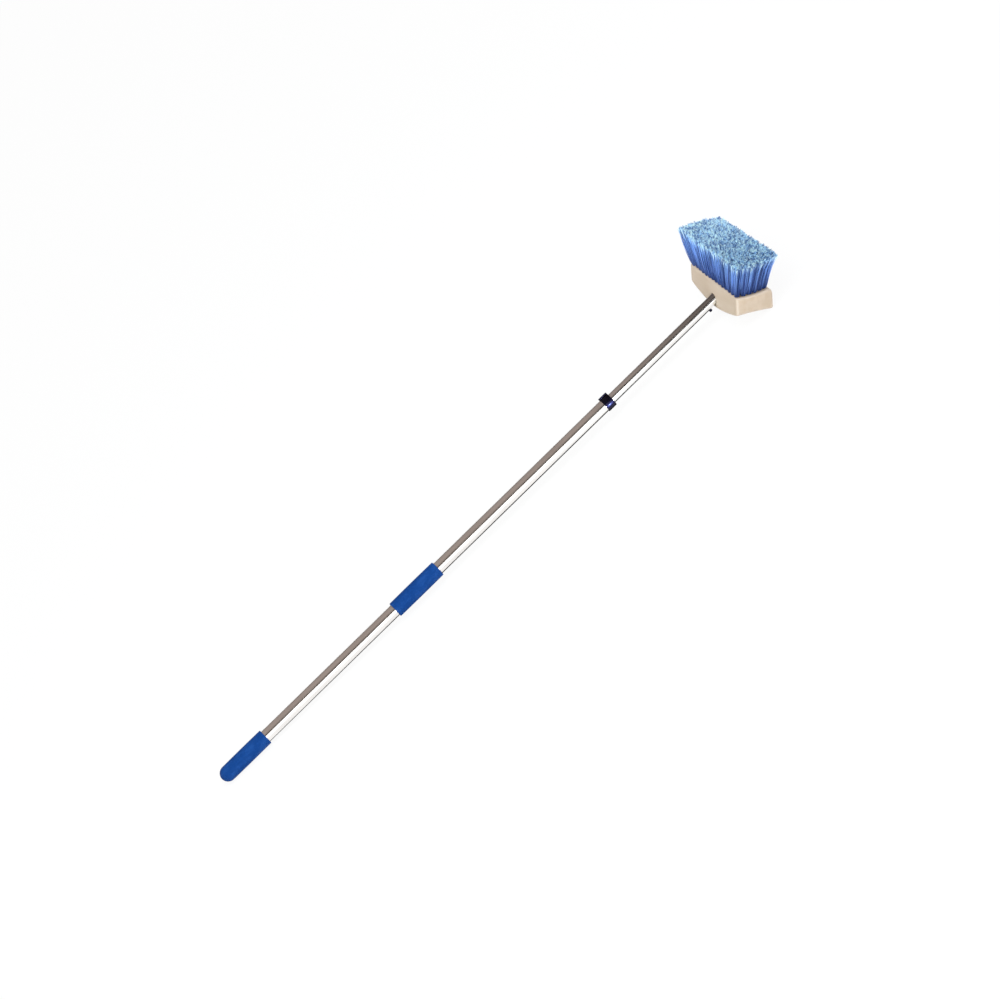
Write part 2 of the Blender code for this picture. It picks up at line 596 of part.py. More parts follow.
def make_snap_button():
    flange = BUTTON_RADIUS + BUTTON_CLEARANCE + BUTTON_FLANGE_LAP
    shoulder = math.sqrt(INNER_BORE ** 2 - flange ** 2) - GAP
    under = shoulder - BUTTON_FLANGE
    top = INNER_RADIUS + BUTTON_RISE
    dome_radius = (BUTTON_RADIUS ** 2 + BUTTON_DOME ** 2) / (2 * BUTTON_DOME)
    half_angle = math.degrees(math.asin(BUTTON_RADIUS / dome_radius))
    dome = arc_points((0, top - dome_radius), dome_radius, 90, 90 - half_angle, DOME_STEPS)
    profile = [(0, top), *dome[1:], (BUTTON_RADIUS, shoulder), (flange, shoulder),
               (flange, under), (0, under)]
    black = make_material("button_black", BLACK, 0.3)
    make_turned("snap_button", profile, BUTTON_LINE, black, SMALL_STEPS)

    half_sheet = SPRING_THICKNESS / 2
    upper = under - GAP - half_sheet
    lower = -(math.sqrt(INNER_BORE ** 2 - (SPRING_WIDTH / 2) ** 2) - GAP - half_sheet)
    bend = SPRING_REACH * SPRING_BEND_SHARE
    line = [(-SPRING_TAIL, upper), (SPRING_TAIL, upper), (bend, upper * SPRING_WAIST_SHARE),
            (SPRING_REACH, 0), (bend, lower * SPRING_WAIST_SHARE), (SPRING_TAIL, lower),
            (-SPRING_TAIL, lower)]
    points = [(x, side * SPRING_WIDTH / 2, z) for x, z in line for side in (-1, 1)]
    faces = [(2 * i, 2 * i + 1, 2 * i + 3, 2 * i + 2) for i in range(len(line) - 1)]
    strip = bpy.data.meshes.new("button_spring")
    strip.from_pydata(points, [], faces)
    spring_steel = make_material("spring_steel", STEEL, 0.3, 1.0)
    spring = make_part("button_spring", strip, BUTTON_LINE, spring_steel)
    sheet = spring.modifiers.new("sheet thickness", "SOLIDIFY")
    sheet.thickness = SPRING_THICKNESS
    sheet.offset = 0


def make_tip_fitting():
    body = INNER_BORE - GAP
    flange_low = INNER_END + GAP
    flange_top = flange_low + TIP_FLANGE
    low = TIP_PIN_AT - PIN_RADIUS - TIP_PAST_PIN
    top = flange_top + TIP_NOSE_LENGTH
    pitch = TIP_NOSE_LENGTH / (TIP_THREADS + 1)
    root = TIP_NOSE_RADIUS - TIP_THREAD_DEPTH
    threads = []
    for turn in range(TIP_THREADS):
        crest = top - pitch * (turn + 1)
        threads += [(root, crest + pitch / 2), (TIP_NOSE_RADIUS, crest)]
    profile = [(0, top), (root, top), *threads, (root, flange_top), (INNER_RADIUS, flange_top),
               (INNER_RADIUS, flange_low), (body, flange_low), (body, low), (0, low)]
    nylon = make_material("tip_nylon", BLACK, 0.45)
    fitting = make_turned("tip_fitting", profile, POLE, nylon, HIDDEN_STEPS)
    combine(fitting, cross_hole("tip_pin_cut", TIP_PIN_AT, PIN_RADIUS + GAP))
    make_cross_pin("tip_pin", TIP_PIN_AT)


def trim_half_length(cross):
    """Half the bristle field's length at a place across the block: its ends bow outwards."""
    share = (cross - TRIM_MIDDLE) / TRIM_HALF_DEPTH
    return TRIM_HALF_LENGTH + BLOCK_END_BOW * (1 - share * share)


def bowed_slab(name, front, back, clearance, low, high):
    """A slab of the bristle field between two places across it, with the field's bowed ends."""
    pieces = max(2, round(SLAB_PIECES * (back - front) / (2 * TRIM_HALF_DEPTH)))
    cuts = [SPAN_SHARE * step / pieces - 1 for step in range(1, pieces)]
    form = gridded_cube((cuts, (), ()))
    for vert in form.verts:
        cross = front + (back - front) * (vert.co.x + 1) / 2
        reach = trim_half_length(cross) + clearance
        height = low + (high - low) * (vert.co.z + 1) / 2
        vert.co = (cross + clearance * vert.co.x, reach * vert.co.y, height)
    mesh = bpy.data.meshes.new(name)
    form.to_mesh(mesh)
    form.free()
    return mesh


def make_block():
    form = gridded_cube((CROSS_SHARES, LONG_SHARES, HEIGHT_SHARES))
    for vert in form.verts:
        vert.co = block_point(vert.co.y, vert.co.x, vert.co.z)
    mesh = bpy.data.meshes.new("brush_block")
    form.to_mesh(mesh)
    form.free()
    mesh.shade_smooth()
    block = make_part("brush_block", mesh, HEAD, make_material("block_cream", CREAM, 0.5))
    bevel = block.modifiers.new("rounded edges", "BEVEL")
    bevel.width = BLOCK_ROUND
    bevel.segments = BLOCK_ROUND_STEPS
    bevel.limit_method = "ANGLE"
    bevel.angle_limit = BLOCK_EDGE_ANGLE

    pocket = bowed_slab("slice_pocket_cut", TRIM_FRONT, TRIM_BACK, GAP,
                        BLOCK_TOP - SLICE_THICKNESS - GAP, BLOCK_TOP + CUT_OVERRUN)
    combine(block, make_cutter("slice_pocket_cut", pocket, HEAD))
    socket = rod_mesh("socket_cut", INNER_RADIUS + SOCKET_CLEARANCE, -BLOCK_TOP, SOCKET_END, ROUND_STEPS)
    combine(block, make_cutter("socket_cut", socket, POLE, (0, 0, MOUTH_AT)))
    nose = rod_mesh("nose_cut", TIP_NOSE_RADIUS + GAP, SOCKET_DEPTH, NOSE_END, HIDDEN_STEPS)
    combine(block, make_cutter("nose_cut", nose, POLE, (0, 0, MOUTH_AT)))
    low_front = HEAD_IN_WORLD @ Vector((0, 0, -BLOCK_TOP))
    low_back = HEAD_IN_WORLD @ Vector((BLOCK_TOP_DEPTH + BLOCK_BACK_FLARE + BLOCK_TOP, 0, 0))
    half_run = BLOCK_HALF_LENGTH + BLOCK_TOP
    floor = box_mesh("floor_cut", (low_front.x, -half_run, -BLOCK_TOP), (low_back.x, half_run, 0))
    floor_line = make_empty("floor_line", None)
    combine(block, make_cutter("floor_cut", floor, floor_line))
    return floor_line


def add_strand(form, root, tip, turn):
    """One three-sided bristle strand from its root to its tip, thicker at the tip."""
    run = tip - root
    lean = Matrix.Identity(4)
    lean[0][2] = run.x / run.z
    lean[1][2] = run.y / run.z
    place = Matrix.Translation((root + tip) / 2) @ lean @ Matrix.Rotation(turn, 4, "Z")
    bmesh.ops.create_cone(
        form, cap_ends=True, segments=STRAND_SIDES, radius1=STRAND_ROOT_SHARE * CELL_HALF_MEAN,
        radius2=STRAND_TIP_SHARE * CELL_HALF_MEAN, depth=run.z, matrix=place,
    )


def tuft_centre(row, column):
    """The middle of a tuft where it leaves the block, as (across, along)."""
    cross = TRIM_FRONT + CELL_HALF_DEPTH * (2 * row + 1)
    along_share = (2 * column + 1) / TUFT_COUNT - 1
    return cross, along_share * trim_half_length(cross)


def tuft_strands(row, column):
    """Root and tip of each strand of a tuft. Cells fan out evenly, so no two strands cross."""
    cross, along = tuft_centre(row, column)
    grow_cross = 1 + FLARE_CROSS / TRIM_HALF_DEPTH
    grow_long = 1 + FLARE_LONG / TRIM_HALF_LENGTH
    root_low = BLOCK_TOP - STRAND_ROOT_DEPTH
    edge_share = max(abs(cross - TRIM_MIDDLE) / TRIM_HALF_DEPTH, abs(along) / TRIM_HALF_LENGTH)
    tip_high = BLOCK_TOP + TRIM_HEIGHT - TRIM_DOME * edge_share * edge_share
    for cross_share, long_share in STRAND_PLACE_SHARES:
        cross_step = cross_share * CELL_HALF_DEPTH
        long_step = long_share * CELL_HALF_LENGTH
        root = Vector((cross + cross_step * ROOT_SPREAD_SHARE, along + long_step * ROOT_SPREAD_SHARE,
                       root_low))
        tip_cross = TRIM_MIDDLE + grow_cross * (cross - TRIM_MIDDLE + cross_step * TIP_SPREAD_SHARE)
        tip_along = grow_long * (along + long_step * TIP_SPREAD_SHARE)
        yield root, Vector((tip_cross, tip_along, tip_high))


def make_trim_row(row):
    """One row of tufts, fused to its slice of the backing."""
    pitch = 2 * CELL_HALF_DEPTH
    front = TRIM_FRONT + pitch * row + (GAP / 2 if row > 0 else 0)
    back = TRIM_FRONT + pitch * (row + 1) - (GAP / 2 if row < ROW_COUNT - 1 else 0)
    name = f"trim_row_{row + 1}"
    slab = bowed_slab(name, front, back, 0, BLOCK_TOP - SLICE_THICKNESS, BLOCK_TOP)
    blue = make_material(f"{name}_blue", BRISTLE_BLUE, 0.5)
    trim = make_part(name, slab, HEAD, blue)
    form = bmesh.new()
    for column in range(TUFT_COUNT):
        side = math.pi if column >= TUFT_COUNT / 2 else 0
        for root, tip in tuft_strands(row, column):
            add_strand(form, root, tip, side)
    strands = bpy.data.meshes.new(f"{name}_strands")
    form.to_mesh(strands)
    form.free()
    combine(trim, make_cutter(f"{name}_strands", strands, HEAD), "UNION")
    return max((HEAD_IN_WORLD @ vert.co).x for vert in strands.vertices)


make_outer_tube()
make_end_plug()
make_grips()
make_guide_bush()
make_collar()
make_inner_tube()
make_tube_plug()
make_twist_lock()
make_snap_button()
make_tip_fitting()
FLOOR_LINE = make_block()
FAR_END = max(make_trim_row(row) for row in range(ROW_COUNT))

# Set the brush on the floor, with the middle of its length over the origin
NEAR_END = GRIP_RADIUS * (math.cos(LYING_TILT) - 1)
MIDDLE = (NEAR_END + FAR_END) / 2
LYING.location = (-MIDDLE, 0, GRIP_RADIUS * (1 - math.sin(LYING_TILT)))
FLOOR_LINE.location = (-MIDDLE, 0, 0)
bpy.context.view_layer.update()
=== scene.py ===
# %% [markdown]
# # A car wash brush on a telescoping pole
#
# The real brush is a cream block of foamed plastic, filled with blue bristles, on the end of two
# aluminium tubes that slide one in the other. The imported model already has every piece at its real
# size, with its joints. This lesson dresses it: each step makes one finished surface, places it by
# the model's own sizes and lets it ride on the body that carries it.

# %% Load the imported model
import json
import math

import bmesh
import bpy
import numpy as np
from mathutils import Matrix, Vector


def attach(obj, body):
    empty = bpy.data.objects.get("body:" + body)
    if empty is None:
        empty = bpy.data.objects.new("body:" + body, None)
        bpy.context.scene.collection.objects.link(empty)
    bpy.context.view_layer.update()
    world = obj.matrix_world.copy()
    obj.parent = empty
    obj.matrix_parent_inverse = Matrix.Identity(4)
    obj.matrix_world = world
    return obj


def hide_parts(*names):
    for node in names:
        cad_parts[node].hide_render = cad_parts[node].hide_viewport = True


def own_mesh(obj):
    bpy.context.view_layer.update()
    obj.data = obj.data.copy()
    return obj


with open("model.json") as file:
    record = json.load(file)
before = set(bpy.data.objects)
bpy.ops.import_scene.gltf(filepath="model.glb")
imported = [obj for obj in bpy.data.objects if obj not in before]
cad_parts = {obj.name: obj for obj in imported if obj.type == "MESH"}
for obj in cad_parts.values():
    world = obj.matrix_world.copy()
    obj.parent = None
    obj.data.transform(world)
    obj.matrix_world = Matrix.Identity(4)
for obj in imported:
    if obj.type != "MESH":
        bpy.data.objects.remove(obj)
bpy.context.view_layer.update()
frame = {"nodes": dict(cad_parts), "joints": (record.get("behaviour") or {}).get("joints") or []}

NODES = frame["nodes"]
JOINTS = {joint["name"]: joint for joint in frame["joints"]}

# %% [markdown]
# ## Two frames to work in
#
# The brush lies on the round end of its grip and on the block's lower back edge, so the pole rises
# a little towards the head. Round pieces are worked out round the pole, and the block and bristles
# in the head's own frame, whose first direction runs from the pole's side to the back, the second
# along the block and the third out along the bristles. The joints say where the pole lies.

# %% Work out the directions of the pole and the head
POLE = np.array(JOINTS["telescope"]["axis"])
MOUTH = np.array(JOINTS["lock_twist"]["pos_m"])
SIDE = np.array((0.0, 1.0, 0.0))
RISE = np.cross(POLE, SIDE)
POLE_TILT = math.atan2(POLE[2], POLE[0])
HEAD_ANGLE = math.radians(31.4)
HEAD_BACK = math.cos(HEAD_ANGLE) * POLE - math.sin(HEAD_ANGLE) * RISE
HEAD_UP = math.sin(HEAD_ANGLE) * POLE + math.cos(HEAD_ANGLE) * RISE


def round_pole(station, radius, angle):
    """Cylinder coordinates: mouth + station * pole + radius * (cos angle * side + sin angle * rise)."""
    outward = np.cos(angle)[..., None] * SIDE + np.sin(angle)[..., None] * RISE
    return MOUTH + station[..., None] * POLE + radius[..., None] * outward


def in_head(back, along, up):
    """The head's own coordinates: mouth + back * its back + along * side + up * its bristles."""
    place = back[..., None] * HEAD_BACK + along[..., None] * SIDE
    return MOUTH + place + up[..., None] * HEAD_UP


print("pole tilt", round(math.degrees(POLE_TILT), 3), "degrees")

# %% [markdown]
# ## Reading sizes from the model
#
# A finished tube has to lie exactly where the model's tube lies. Its ends and radii are read from
# the node's own vertices, so that nothing has to be fitted by eye.

# %% Measure a node along the pole
def vertex_array(mesh):
    """A mesh's vertices as rows of X, Y and Z."""
    points = np.empty(3 * len(mesh.vertices), np.float32)
    mesh.vertices.foreach_get("co", points)
    return points.reshape(-1, 3).astype(float)


def reach(node):
    """First and last station along the pole, and the least and greatest distance from its axis."""
    offset = vertex_array(NODES[node].data) - MOUTH
    station = offset @ POLE
    radius = np.linalg.norm(offset - station[:, None] * POLE, axis=1)
    return station.min(), station.max(), radius.min(), radius.max()


OUTER_LOW, OUTER_HIGH, OUTER_BORE, OUTER_RADIUS = reach("outer_tube")
INNER_LOW, INNER_HIGH, INNER_BORE, INNER_RADIUS = reach("inner_tube")
print("outer tube", round(2000 * OUTER_RADIUS, 2), "mm, inner tube", round(2000 * INNER_RADIUS, 2), "mm")

# %% [markdown]
# ## Making a mesh from arrays
#
# Every new surface here is a grid of points worked out at once with numpy. One function turns the
# points and faces into a mesh, and turns all its faces round if the solid's volume comes out
# negative, so that they always point outwards.

# %% Turn arrays of points and faces into a solid
SHARP_ANGLE = math.radians(35)
COLLECTION = bpy.context.scene.collection


def volume_under(points, faces):
    """Six times the signed volume: the sum of corner products over each face's fan of triangles."""
    total = 0.0
    for corner in range(1, faces.shape[1] - 1):
        first, second, third = (points[faces[:, i]] for i in (0, corner, corner + 1))
        total += np.einsum("ij,ij->", first, np.cross(second, third))
    return total


def solid_mesh(points, face_groups):
    """A mesh from an array of points and arrays of triangles or quads, with its faces outwards."""
    centred = points - points.mean(axis=0)
    if sum(volume_under(centred, faces) for faces in face_groups) < 0:
        face_groups = [faces[:, ::-1] for faces in face_groups]
    sizes = np.concatenate([np.full(len(faces), faces.shape[1]) for faces in face_groups])
    corners = np.concatenate([faces.ravel() for faces in face_groups])
    mesh = bpy.data.meshes.new("solid")
    mesh.vertices.add(len(points))
    mesh.vertices.foreach_set("co", points.astype(np.float32).ravel())
    mesh.loops.add(len(corners))
    mesh.loops.foreach_set("vertex_index", corners.astype(np.int32))
    mesh.polygons.add(len(sizes))
    mesh.polygons.foreach_set("loop_start", (np.cumsum(sizes) - sizes).astype(np.int32))
    mesh.update(calc_edges=True)
    mesh.validate()
    return mesh


def store(mesh, word, values):
    """Keep a number at each of the mesh's points, for a finish to read."""
    mesh.attributes.new(word, "FLOAT", "POINT").data.foreach_set("value", values.astype(np.float32))


def dress(node, mesh, body, material):
    """Show a finished mesh in place of the model's node."""
    mesh.name = f"{node}_skin"
    mesh.shade_smooth()
    mesh.set_sharp_from_angle(angle=SHARP_ANGLE)
    mesh.materials.clear()
    mesh.materials.append(material)
    skin = bpy.data.objects.new(mesh.name, mesh)
    COLLECTION.objects.link(skin)
    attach(skin, body)
    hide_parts(node)
    print(skin.name, len(mesh.polygons), "faces on", body)
    return skin


# %% [markdown]
# ## Shader maths in plain expressions
#
# A finish mixes noises and ramps by arithmetic. A small class gives a socket the usual operators,
# each of which adds a Math node, so a recipe reads as a formula. Any other node comes from one
# method, which takes what its sockets hold and then its settings by name.

# %% Wrap a socket, so that arithmetic adds Math nodes
class Wire:
    """A value on its way through a node tree: the operators add Math nodes."""

    def __init__(self, owner, socket):
        self.owner = owner
        self.socket = socket

    def math(self, operation, first, second):
        return self.owner.node("ShaderNodeMath", {0: first, 1: second}, operation=operation)

    def __add__(self, other):
        return self.math("ADD", self, other)

    def __sub__(self, other):
        return self.math("SUBTRACT", self, other)

    def __rsub__(self, other):
        return self.math("SUBTRACT", other, self)

    def __mul__(self, other):
        return self.math("MULTIPLY", self, other)

    __radd__ = __add__
    __rmul__ = __mul__


# %% Wrap a node tree, and a material's finish
class NodeTree:
    """The nodes of a material or of the world, and one way to add to them."""

    def __init__(self, holder):
        holder.use_nodes = True
        self.holder = holder
        self.tree = holder.node_tree

    def node(self, kind, links=None, output=0, stops=(), **settings):
        """Add a node with its settings, a ramp's stops, and the wires or constants it is fed."""
        made = self.tree.nodes.new(kind)
        for word, value in settings.items():
            setattr(made, word, value)
        if stops:
            self.fill_ramp(made.color_ramp, stops)
        for place, value in (links or {}).items():
            self.feed(made.inputs[place], value)
        return Wire(self, made.outputs[output])

    def feed(self, socket, value):
        """Link a wire to a socket, or give the socket a constant."""
        if isinstance(value, Wire):
            self.tree.links.new(value.socket, socket)
        else:
            socket.default_value = value

    def fill_ramp(self, ramp, stops):
        """Give a ramp its stops, each a place and a colour."""
        while len(ramp.elements) < len(stops):
            ramp.elements.new(0.5)
        for element, (place, colour) in zip(ramp.elements, stops):
            element.position = place
            element.color = (*colour, 1.0)

    def show(self, shader):
        """Link a finished shader to the tree's output."""
        output = next(node for node in self.tree.nodes if node.type.startswith("OUTPUT"))
        self.feed(output.inputs["Surface"], shader)
        return self.holder


class Finish(NodeTree):
    """A material with its Principled shader, and the steps that its recipe is made of."""

    def __init__(self, name, **constants):
        super().__init__(bpy.data.materials.new(name))
        self.shader = self.tree.nodes["Principled BSDF"]
        self.paint(**constants)

    def paint(self, **values):
        """Feed the shader's sockets, named with underscores for spaces."""
        for words, value in values.items():
            self.feed(self.shader.inputs[words.replace("_", " ")], value)
        return self.holder

    def noise(self, sizes, detail, seed, turn=POLE_TILT):
        """Noise whose cells are sizes long, in metres: one size, or along, across and up."""
        spot = self.node("ShaderNodeTexCoord", output="Object")
        sizes = tuple(np.broadcast_to(sizes, 3))
        place = {"Vector": spot, "Location": Vector(MOUTH), "Rotation": (0, -turn, 0), "Scale": sizes}
        turned = self.node("ShaderNodeMapping", place, vector_type="TEXTURE")
        links = {"Vector": turned, "W": seed, "Scale": 1.0, "Detail": detail}
        return self.node("ShaderNodeTexNoise", links, noise_dimensions="4D")

    def between(self, share, low, high):
        """Where a value lies between two limits, from 0 to 1, eased at both ends."""
        links = {"Value": share, "From Min": low, "From Max": high}
        return self.node("ShaderNodeMapRange", links, interpolation_type="SMOOTHSTEP")

    def blend(self, share, first, second):
        """Mix two colours: (1 - share) * first + share * second."""
        first, second = ((*c, 1.0) if isinstance(c, tuple) else c for c in (first, second))
        links = {0: share, 6: first, 7: second}
        return self.node("ShaderNodeMix", links, output=2, data_type="RGBA")

    def stored(self, word):
        """A number that the mesh keeps at each of its points."""
        return self.node("ShaderNodeAttribute", output="Fac", attribute_name=word)

    def bump(self, height, depth, strength):
        """A bump of a real depth, in metres."""
        links = {"Strength": strength, "Distance": depth, "Height": height}
        return self.node("ShaderNodeBump", links, output="Normal")


# %% [markdown]
# ## Aluminium
#
# The tubes are drawn and polished, which leaves fine lines along them. The lines are noise whose
# cells are long along the pole and very narrow across it. A wider, softer noise varies how sharp
# the reflections are, as handling does, and a few long scuffs cross the shine.

# %% Mix the polished aluminium
def aluminium(name, tone, seed):
    """Metal with drawn lines, a mottled haze and sparse scuffs."""
    finish = Finish(name, Metallic=1.0, IOR=1.45)
    lines = finish.noise((0.9, 0.0011, 0.0011), 3.0, seed=seed)
    haze = finish.noise((0.10, 0.014, 0.014), 4.0, seed=seed + 1)
    scuffs = finish.between(finish.noise((0.25, 0.0022, 0.0022), 1.0, seed=seed + 2), 0.67, 0.74)
    clouded = finish.between(haze, 0.35, 0.72)
    dull = tuple(0.90 * part for part in tone)
    colour = finish.blend(clouded * 0.7 + scuffs * 0.3, tone, dull)
    roughness = 0.10 + 0.07 * lines + 0.12 * clouded + 0.12 * scuffs
    normal = finish.bump(lines + 0.5 * scuffs, 0.00004, 0.5)
    return finish.paint(Base_Color=colour, Roughness=roughness, Normal=normal)


OUTER_METAL = aluminium("outer_aluminium", (0.93, 0.905, 0.88), 3.0)
INNER_METAL = aluminium("inner_aluminium", (0.90, 0.88, 0.86), 11.0)
print("aluminium", OUTER_METAL.name, INNER_METAL.name)

# %% [markdown]
# ## Grip vinyl
#
# The grips are sleeves of foamed blue vinyl. The skin has a fine pebble, a slow mottle from the
# foam under it, and a soft sheen. Where hands rub it, it turns a little smoother.

# %% Mix the blue grip vinyl
def grip_vinyl():
    """Blue skin: a pebble of about a millimetre over a slow mottle."""
    finish = Finish("grip_vinyl", Coat_Roughness=0.35, Specular_IOR_Level=0.07)
    pebble = finish.noise((0.0016, 0.0012, 0.0012), 3.0, seed=21.0)
    mottle = finish.noise((0.03, 0.012, 0.012), 3.0, seed=22.0)
    rubbed = finish.between(mottle, 0.42, 0.66)
    colour = finish.blend(rubbed, (0.003, 0.043, 0.200), (0.006, 0.058, 0.248))
    colour = finish.blend(0.35 * pebble, colour, (0.002, 0.029, 0.142))
    roughness = 0.52 - 0.12 * rubbed + 0.10 * pebble
    normal = finish.bump(pebble + 0.6 * mottle, 0.00025, 0.7)
    return finish.paint(Base_Color=colour, Roughness=roughness, Normal=normal, Coat_Weight=0.05 * rubbed)


GRIP_VINYL = grip_vinyl()
print("grip", GRIP_VINYL.name)

# %% [markdown]
# ## Hard plastics and steel
#
# The collar and the snap button are glossy black mouldings whose highlights turn blue-violet. The
# hidden fittings are plain nylon, and the pins and the screw are zinc-plated steel.

# %% Mix the black gloss, the nylons and the steel
def moulding(name, colour, roughness, **constants):
    """Moulded plastic: faint flow marks in its colour, and an orange-peel skin."""
    finish = Finish(name, **constants)
    peel = finish.noise(0.002, 2.0, seed=31.0)
    flow = finish.noise((0.02, 0.008, 0.008), 3.0, seed=32.0)
    darker = tuple(0.8 * part for part in colour)
    tone = finish.blend(finish.between(flow, 0.3, 0.7), darker, colour)
    return finish.paint(Base_Color=tone, Roughness=roughness + 0.08 * flow,
                        Normal=finish.bump(peel, 0.00003, 0.6))


COLLAR_GLOSS = moulding("collar_gloss", (0.0025, 0.0020, 0.0015), 0.28,
                        Specular_Tint=(0.30, 0.25, 1.0, 1.0), Specular_IOR_Level=0.40,
                        Coat_Weight=0.14, Coat_Roughness=0.16)
BLACK_NYLON = moulding("black_nylon", (0.018, 0.018, 0.020), 0.42)
WHITE_NYLON = moulding("white_nylon", (0.72, 0.71, 0.66), 0.38)


def plated_steel():
    """Zinc-plated steel: a fine grain and faint yellow clouds."""
    finish = Finish("zinc_steel", Metallic=1.0)
    grain = finish.noise(0.0006, 2.0, seed=41.0)
    clouds = finish.noise(0.004, 2.0, seed=42.0)
    colour = finish.blend(clouds, (0.56, 0.56, 0.57), (0.66, 0.63, 0.55))
    return finish.paint(Base_Color=colour, Roughness=0.25 + 0.2 * grain,
                        Normal=finish.bump(grain, 0.00002, 0.5))


ZINC_STEEL = plated_steel()
for material, nodes in (
    (BLACK_NYLON, ("end_plug", "tube_plug", "cone_nut", "tip_fitting")),
    (WHITE_NYLON, ("guide_bush", "expander_sleeve")),
    (ZINC_STEEL, ("plug_pin", "tip_pin", "lock_stud", "stop_nut")),
):
    for node in nodes:
        NODES[node].data.materials.clear()
        NODES[node].data.materials.append(material)
print("inner fittings painted")

# %% [markdown]
# ## Cream structural foam
#
# The block is moulded in foamed plastic, which swirls as it fills the mould. Long, slow noise
# gives those swirls, a finer one gives the slightly pitted skin, and both only change the cream
# by a few hundredths. The rounded edges are painted paler as a painted highlight, and the mesh stores
# where they are.

# %% Mix the cream block's finish
def block_foam():
    """Cream foam: swirls along the block, small pits, a painted highlight on the edges, a soft sheen."""
    finish = Finish("block_foam", Specular_IOR_Level=0.5)
    swirls = finish.noise((0.012, 0.07, 0.020), 5.0, seed=51.0, turn=POLE_TILT - HEAD_ANGLE)
    clouds = finish.noise(0.05, 2.0, seed=52.0)
    pits = finish.noise(0.0018, 2.0, seed=53.0)
    flow = finish.between(swirls, 0.30, 0.70)
    colour = finish.blend(flow, (0.462, 0.362, 0.258), (0.520, 0.426, 0.328))
    colour = finish.blend(0.35 * clouds, colour, (0.532, 0.426, 0.332))
    # Painted highlight: the rounded edges are blended towards a pale cream.
    colour = finish.blend(0.24 * finish.stored("edge"), colour, (0.670, 0.590, 0.530))
    roughness = 0.36 + 0.10 * flow + 0.06 * pits
    normal = finish.bump(0.7 * pits + swirls, 0.00022, 0.6)
    return finish.paint(Base_Color=colour, Roughness=roughness, Normal=normal)


BLOCK_FOAM = block_foam()
print("block", BLOCK_FOAM.name)

# %% [markdown]
# ## Bristle filaments
#
# Each filament is deep blue along its shaft, with painted shade darkening it towards the root, where
# the tufts crowd. Its end is split into fine hairs, which scatter the light and look sky blue. Two
# numbers stored on every point drive this: how far along its filament the point is, and a tone that a
# bunch nearly shares. A low tone paints shade on the filament, as if it stood deeper in the shade, and
# a high one paints a highlight on its tip.

# %% Mix the bristle blue
def bristle_blue():
    """Painted root shade, a blue shaft, sky blue split ends, and painted shade and tip highlights by
    tone.
    """
    finish = Finish("bristle_blue", Roughness=0.44, Specular_IOR_Level=0.4)
    along, tone = finish.stored("along"), finish.stored("tone")
    # The ramp's darker stops towards the root are painted shade among the crowded tufts.
    stops = ((0.0, (0.008, 0.022, 0.090)), (0.20, (0.062, 0.130, 0.430)), (0.55, (0.170, 0.340, 0.820)),
             (0.80, (0.215, 0.425, 0.900)), (0.92, (0.320, 0.590, 1.000)), (1.0, (0.450, 0.750, 1.000)))
    colour = finish.node("ShaderNodeValToRGB", {"Fac": along + 0.20 * (tone - 0.5)}, stops=stops)
    # Painted shade: a low tone darkens the whole filament, less towards its tip.
    shaded_tone = finish.between(tone, 0.52, 0.30)
    shade = (0.90 - 0.26 * finish.between(along, 0.72, 1.0)) * shaded_tone
    # Painted highlight: a high tone pales the filament's tip.
    tip_highlight = finish.between(tone, 0.50, 0.74) * finish.between(along, 0.74, 0.99)
    colour = finish.blend(shade, colour, (0.012, 0.042, 0.215))
    colour = finish.blend(0.90 * tip_highlight, colour, (0.76, 0.97, 1.0))
    return finish.paint(Base_Color=colour)


BRISTLE_BLUE = bristle_blue()
print("bristles", BRISTLE_BLUE.name)

# %% [markdown]
# ## Turned pieces
#
# Tubes, grips and rings are one profile carried once round the pole. A profile is a list of
# stations along the pole and radii, and its rounded corners are short arcs. Where it meets the
# axis it closes on a single point, so there is no pinched row of vertices.

# %% Carry a profile round the pole
AROUND = 144
ARC_STEPS = 6


def arc(station, radius, size, start, end, steps=ARC_STEPS):
    """A corner: centre + size * (sin, cos) of angles from the radial line, in degrees."""
    angles = np.radians(np.linspace(start, end, steps + 1))
    return np.column_stack((station + size * np.sin(angles), radius + size * np.cos(angles)))


def turned_mesh(profile, ring=True):
    """Each profile row gives a circle of points; a ring's last row joins its first again."""
    profile = np.vstack(profile)
    ends = () if ring else (profile[0], profile[-1])
    rows = profile if ring else profile[1:-1]
    angles = np.linspace(0, 2 * math.pi, AROUND, endpoint=False)
    station, angle = np.meshgrid(rows[:, 0], angles, indexing="ij")
    radius = np.broadcast_to(rows[:, 1:], station.shape)
    points = round_pole(station, radius, angle).reshape(-1, 3)
    count = len(rows)
    first = np.arange(count if ring else count - 1)[:, None] * AROUND
    second = (first + AROUND) % (count * AROUND)
    step = np.arange(AROUND)[None, :]
    following = (step + 1) % AROUND
    corners = (first + step, first + following, second + following, second + step)
    groups = [np.stack(corners, axis=-1).reshape(-1, 4)]
    for place, (end, base) in enumerate(zip(ends, (0, (count - 1) * AROUND))):
        tip = np.full(AROUND, len(points))
        points = np.vstack((points, round_pole(end[:1], end[1:], np.zeros(1))))
        fan = np.stack((tip, base + following[0], base + step[0]), axis=-1)
        groups.append(fan if place == 0 else fan[:, ::-1])
    return solid_mesh(points, groups)


def cut(mesh, cutter_mesh):
    """The mesh with the cutter's solid taken out of it."""
    body = bpy.data.objects.new("uncut", mesh)
    cutter = bpy.data.objects.new("cutter", cutter_mesh)
    for item in (body, cutter):
        COLLECTION.objects.link(item)
    boolean = body.modifiers.new("hole", "BOOLEAN")
    boolean.object = cutter
    boolean.operation = "DIFFERENCE"
    boolean.solver = "EXACT"
    view = bpy.context.evaluated_depsgraph_get()
    result = bpy.data.meshes.new_from_object(body.evaluated_get(view))
    for item in (body, cutter):
        bpy.data.objects.remove(item, do_unlink=True)
    return result


# %% [markdown]
# ## The two tubes
#
# Each tube is a ring of four corners with its cut edges just broken. The inner one also has the
# hole that the snap button stands in.

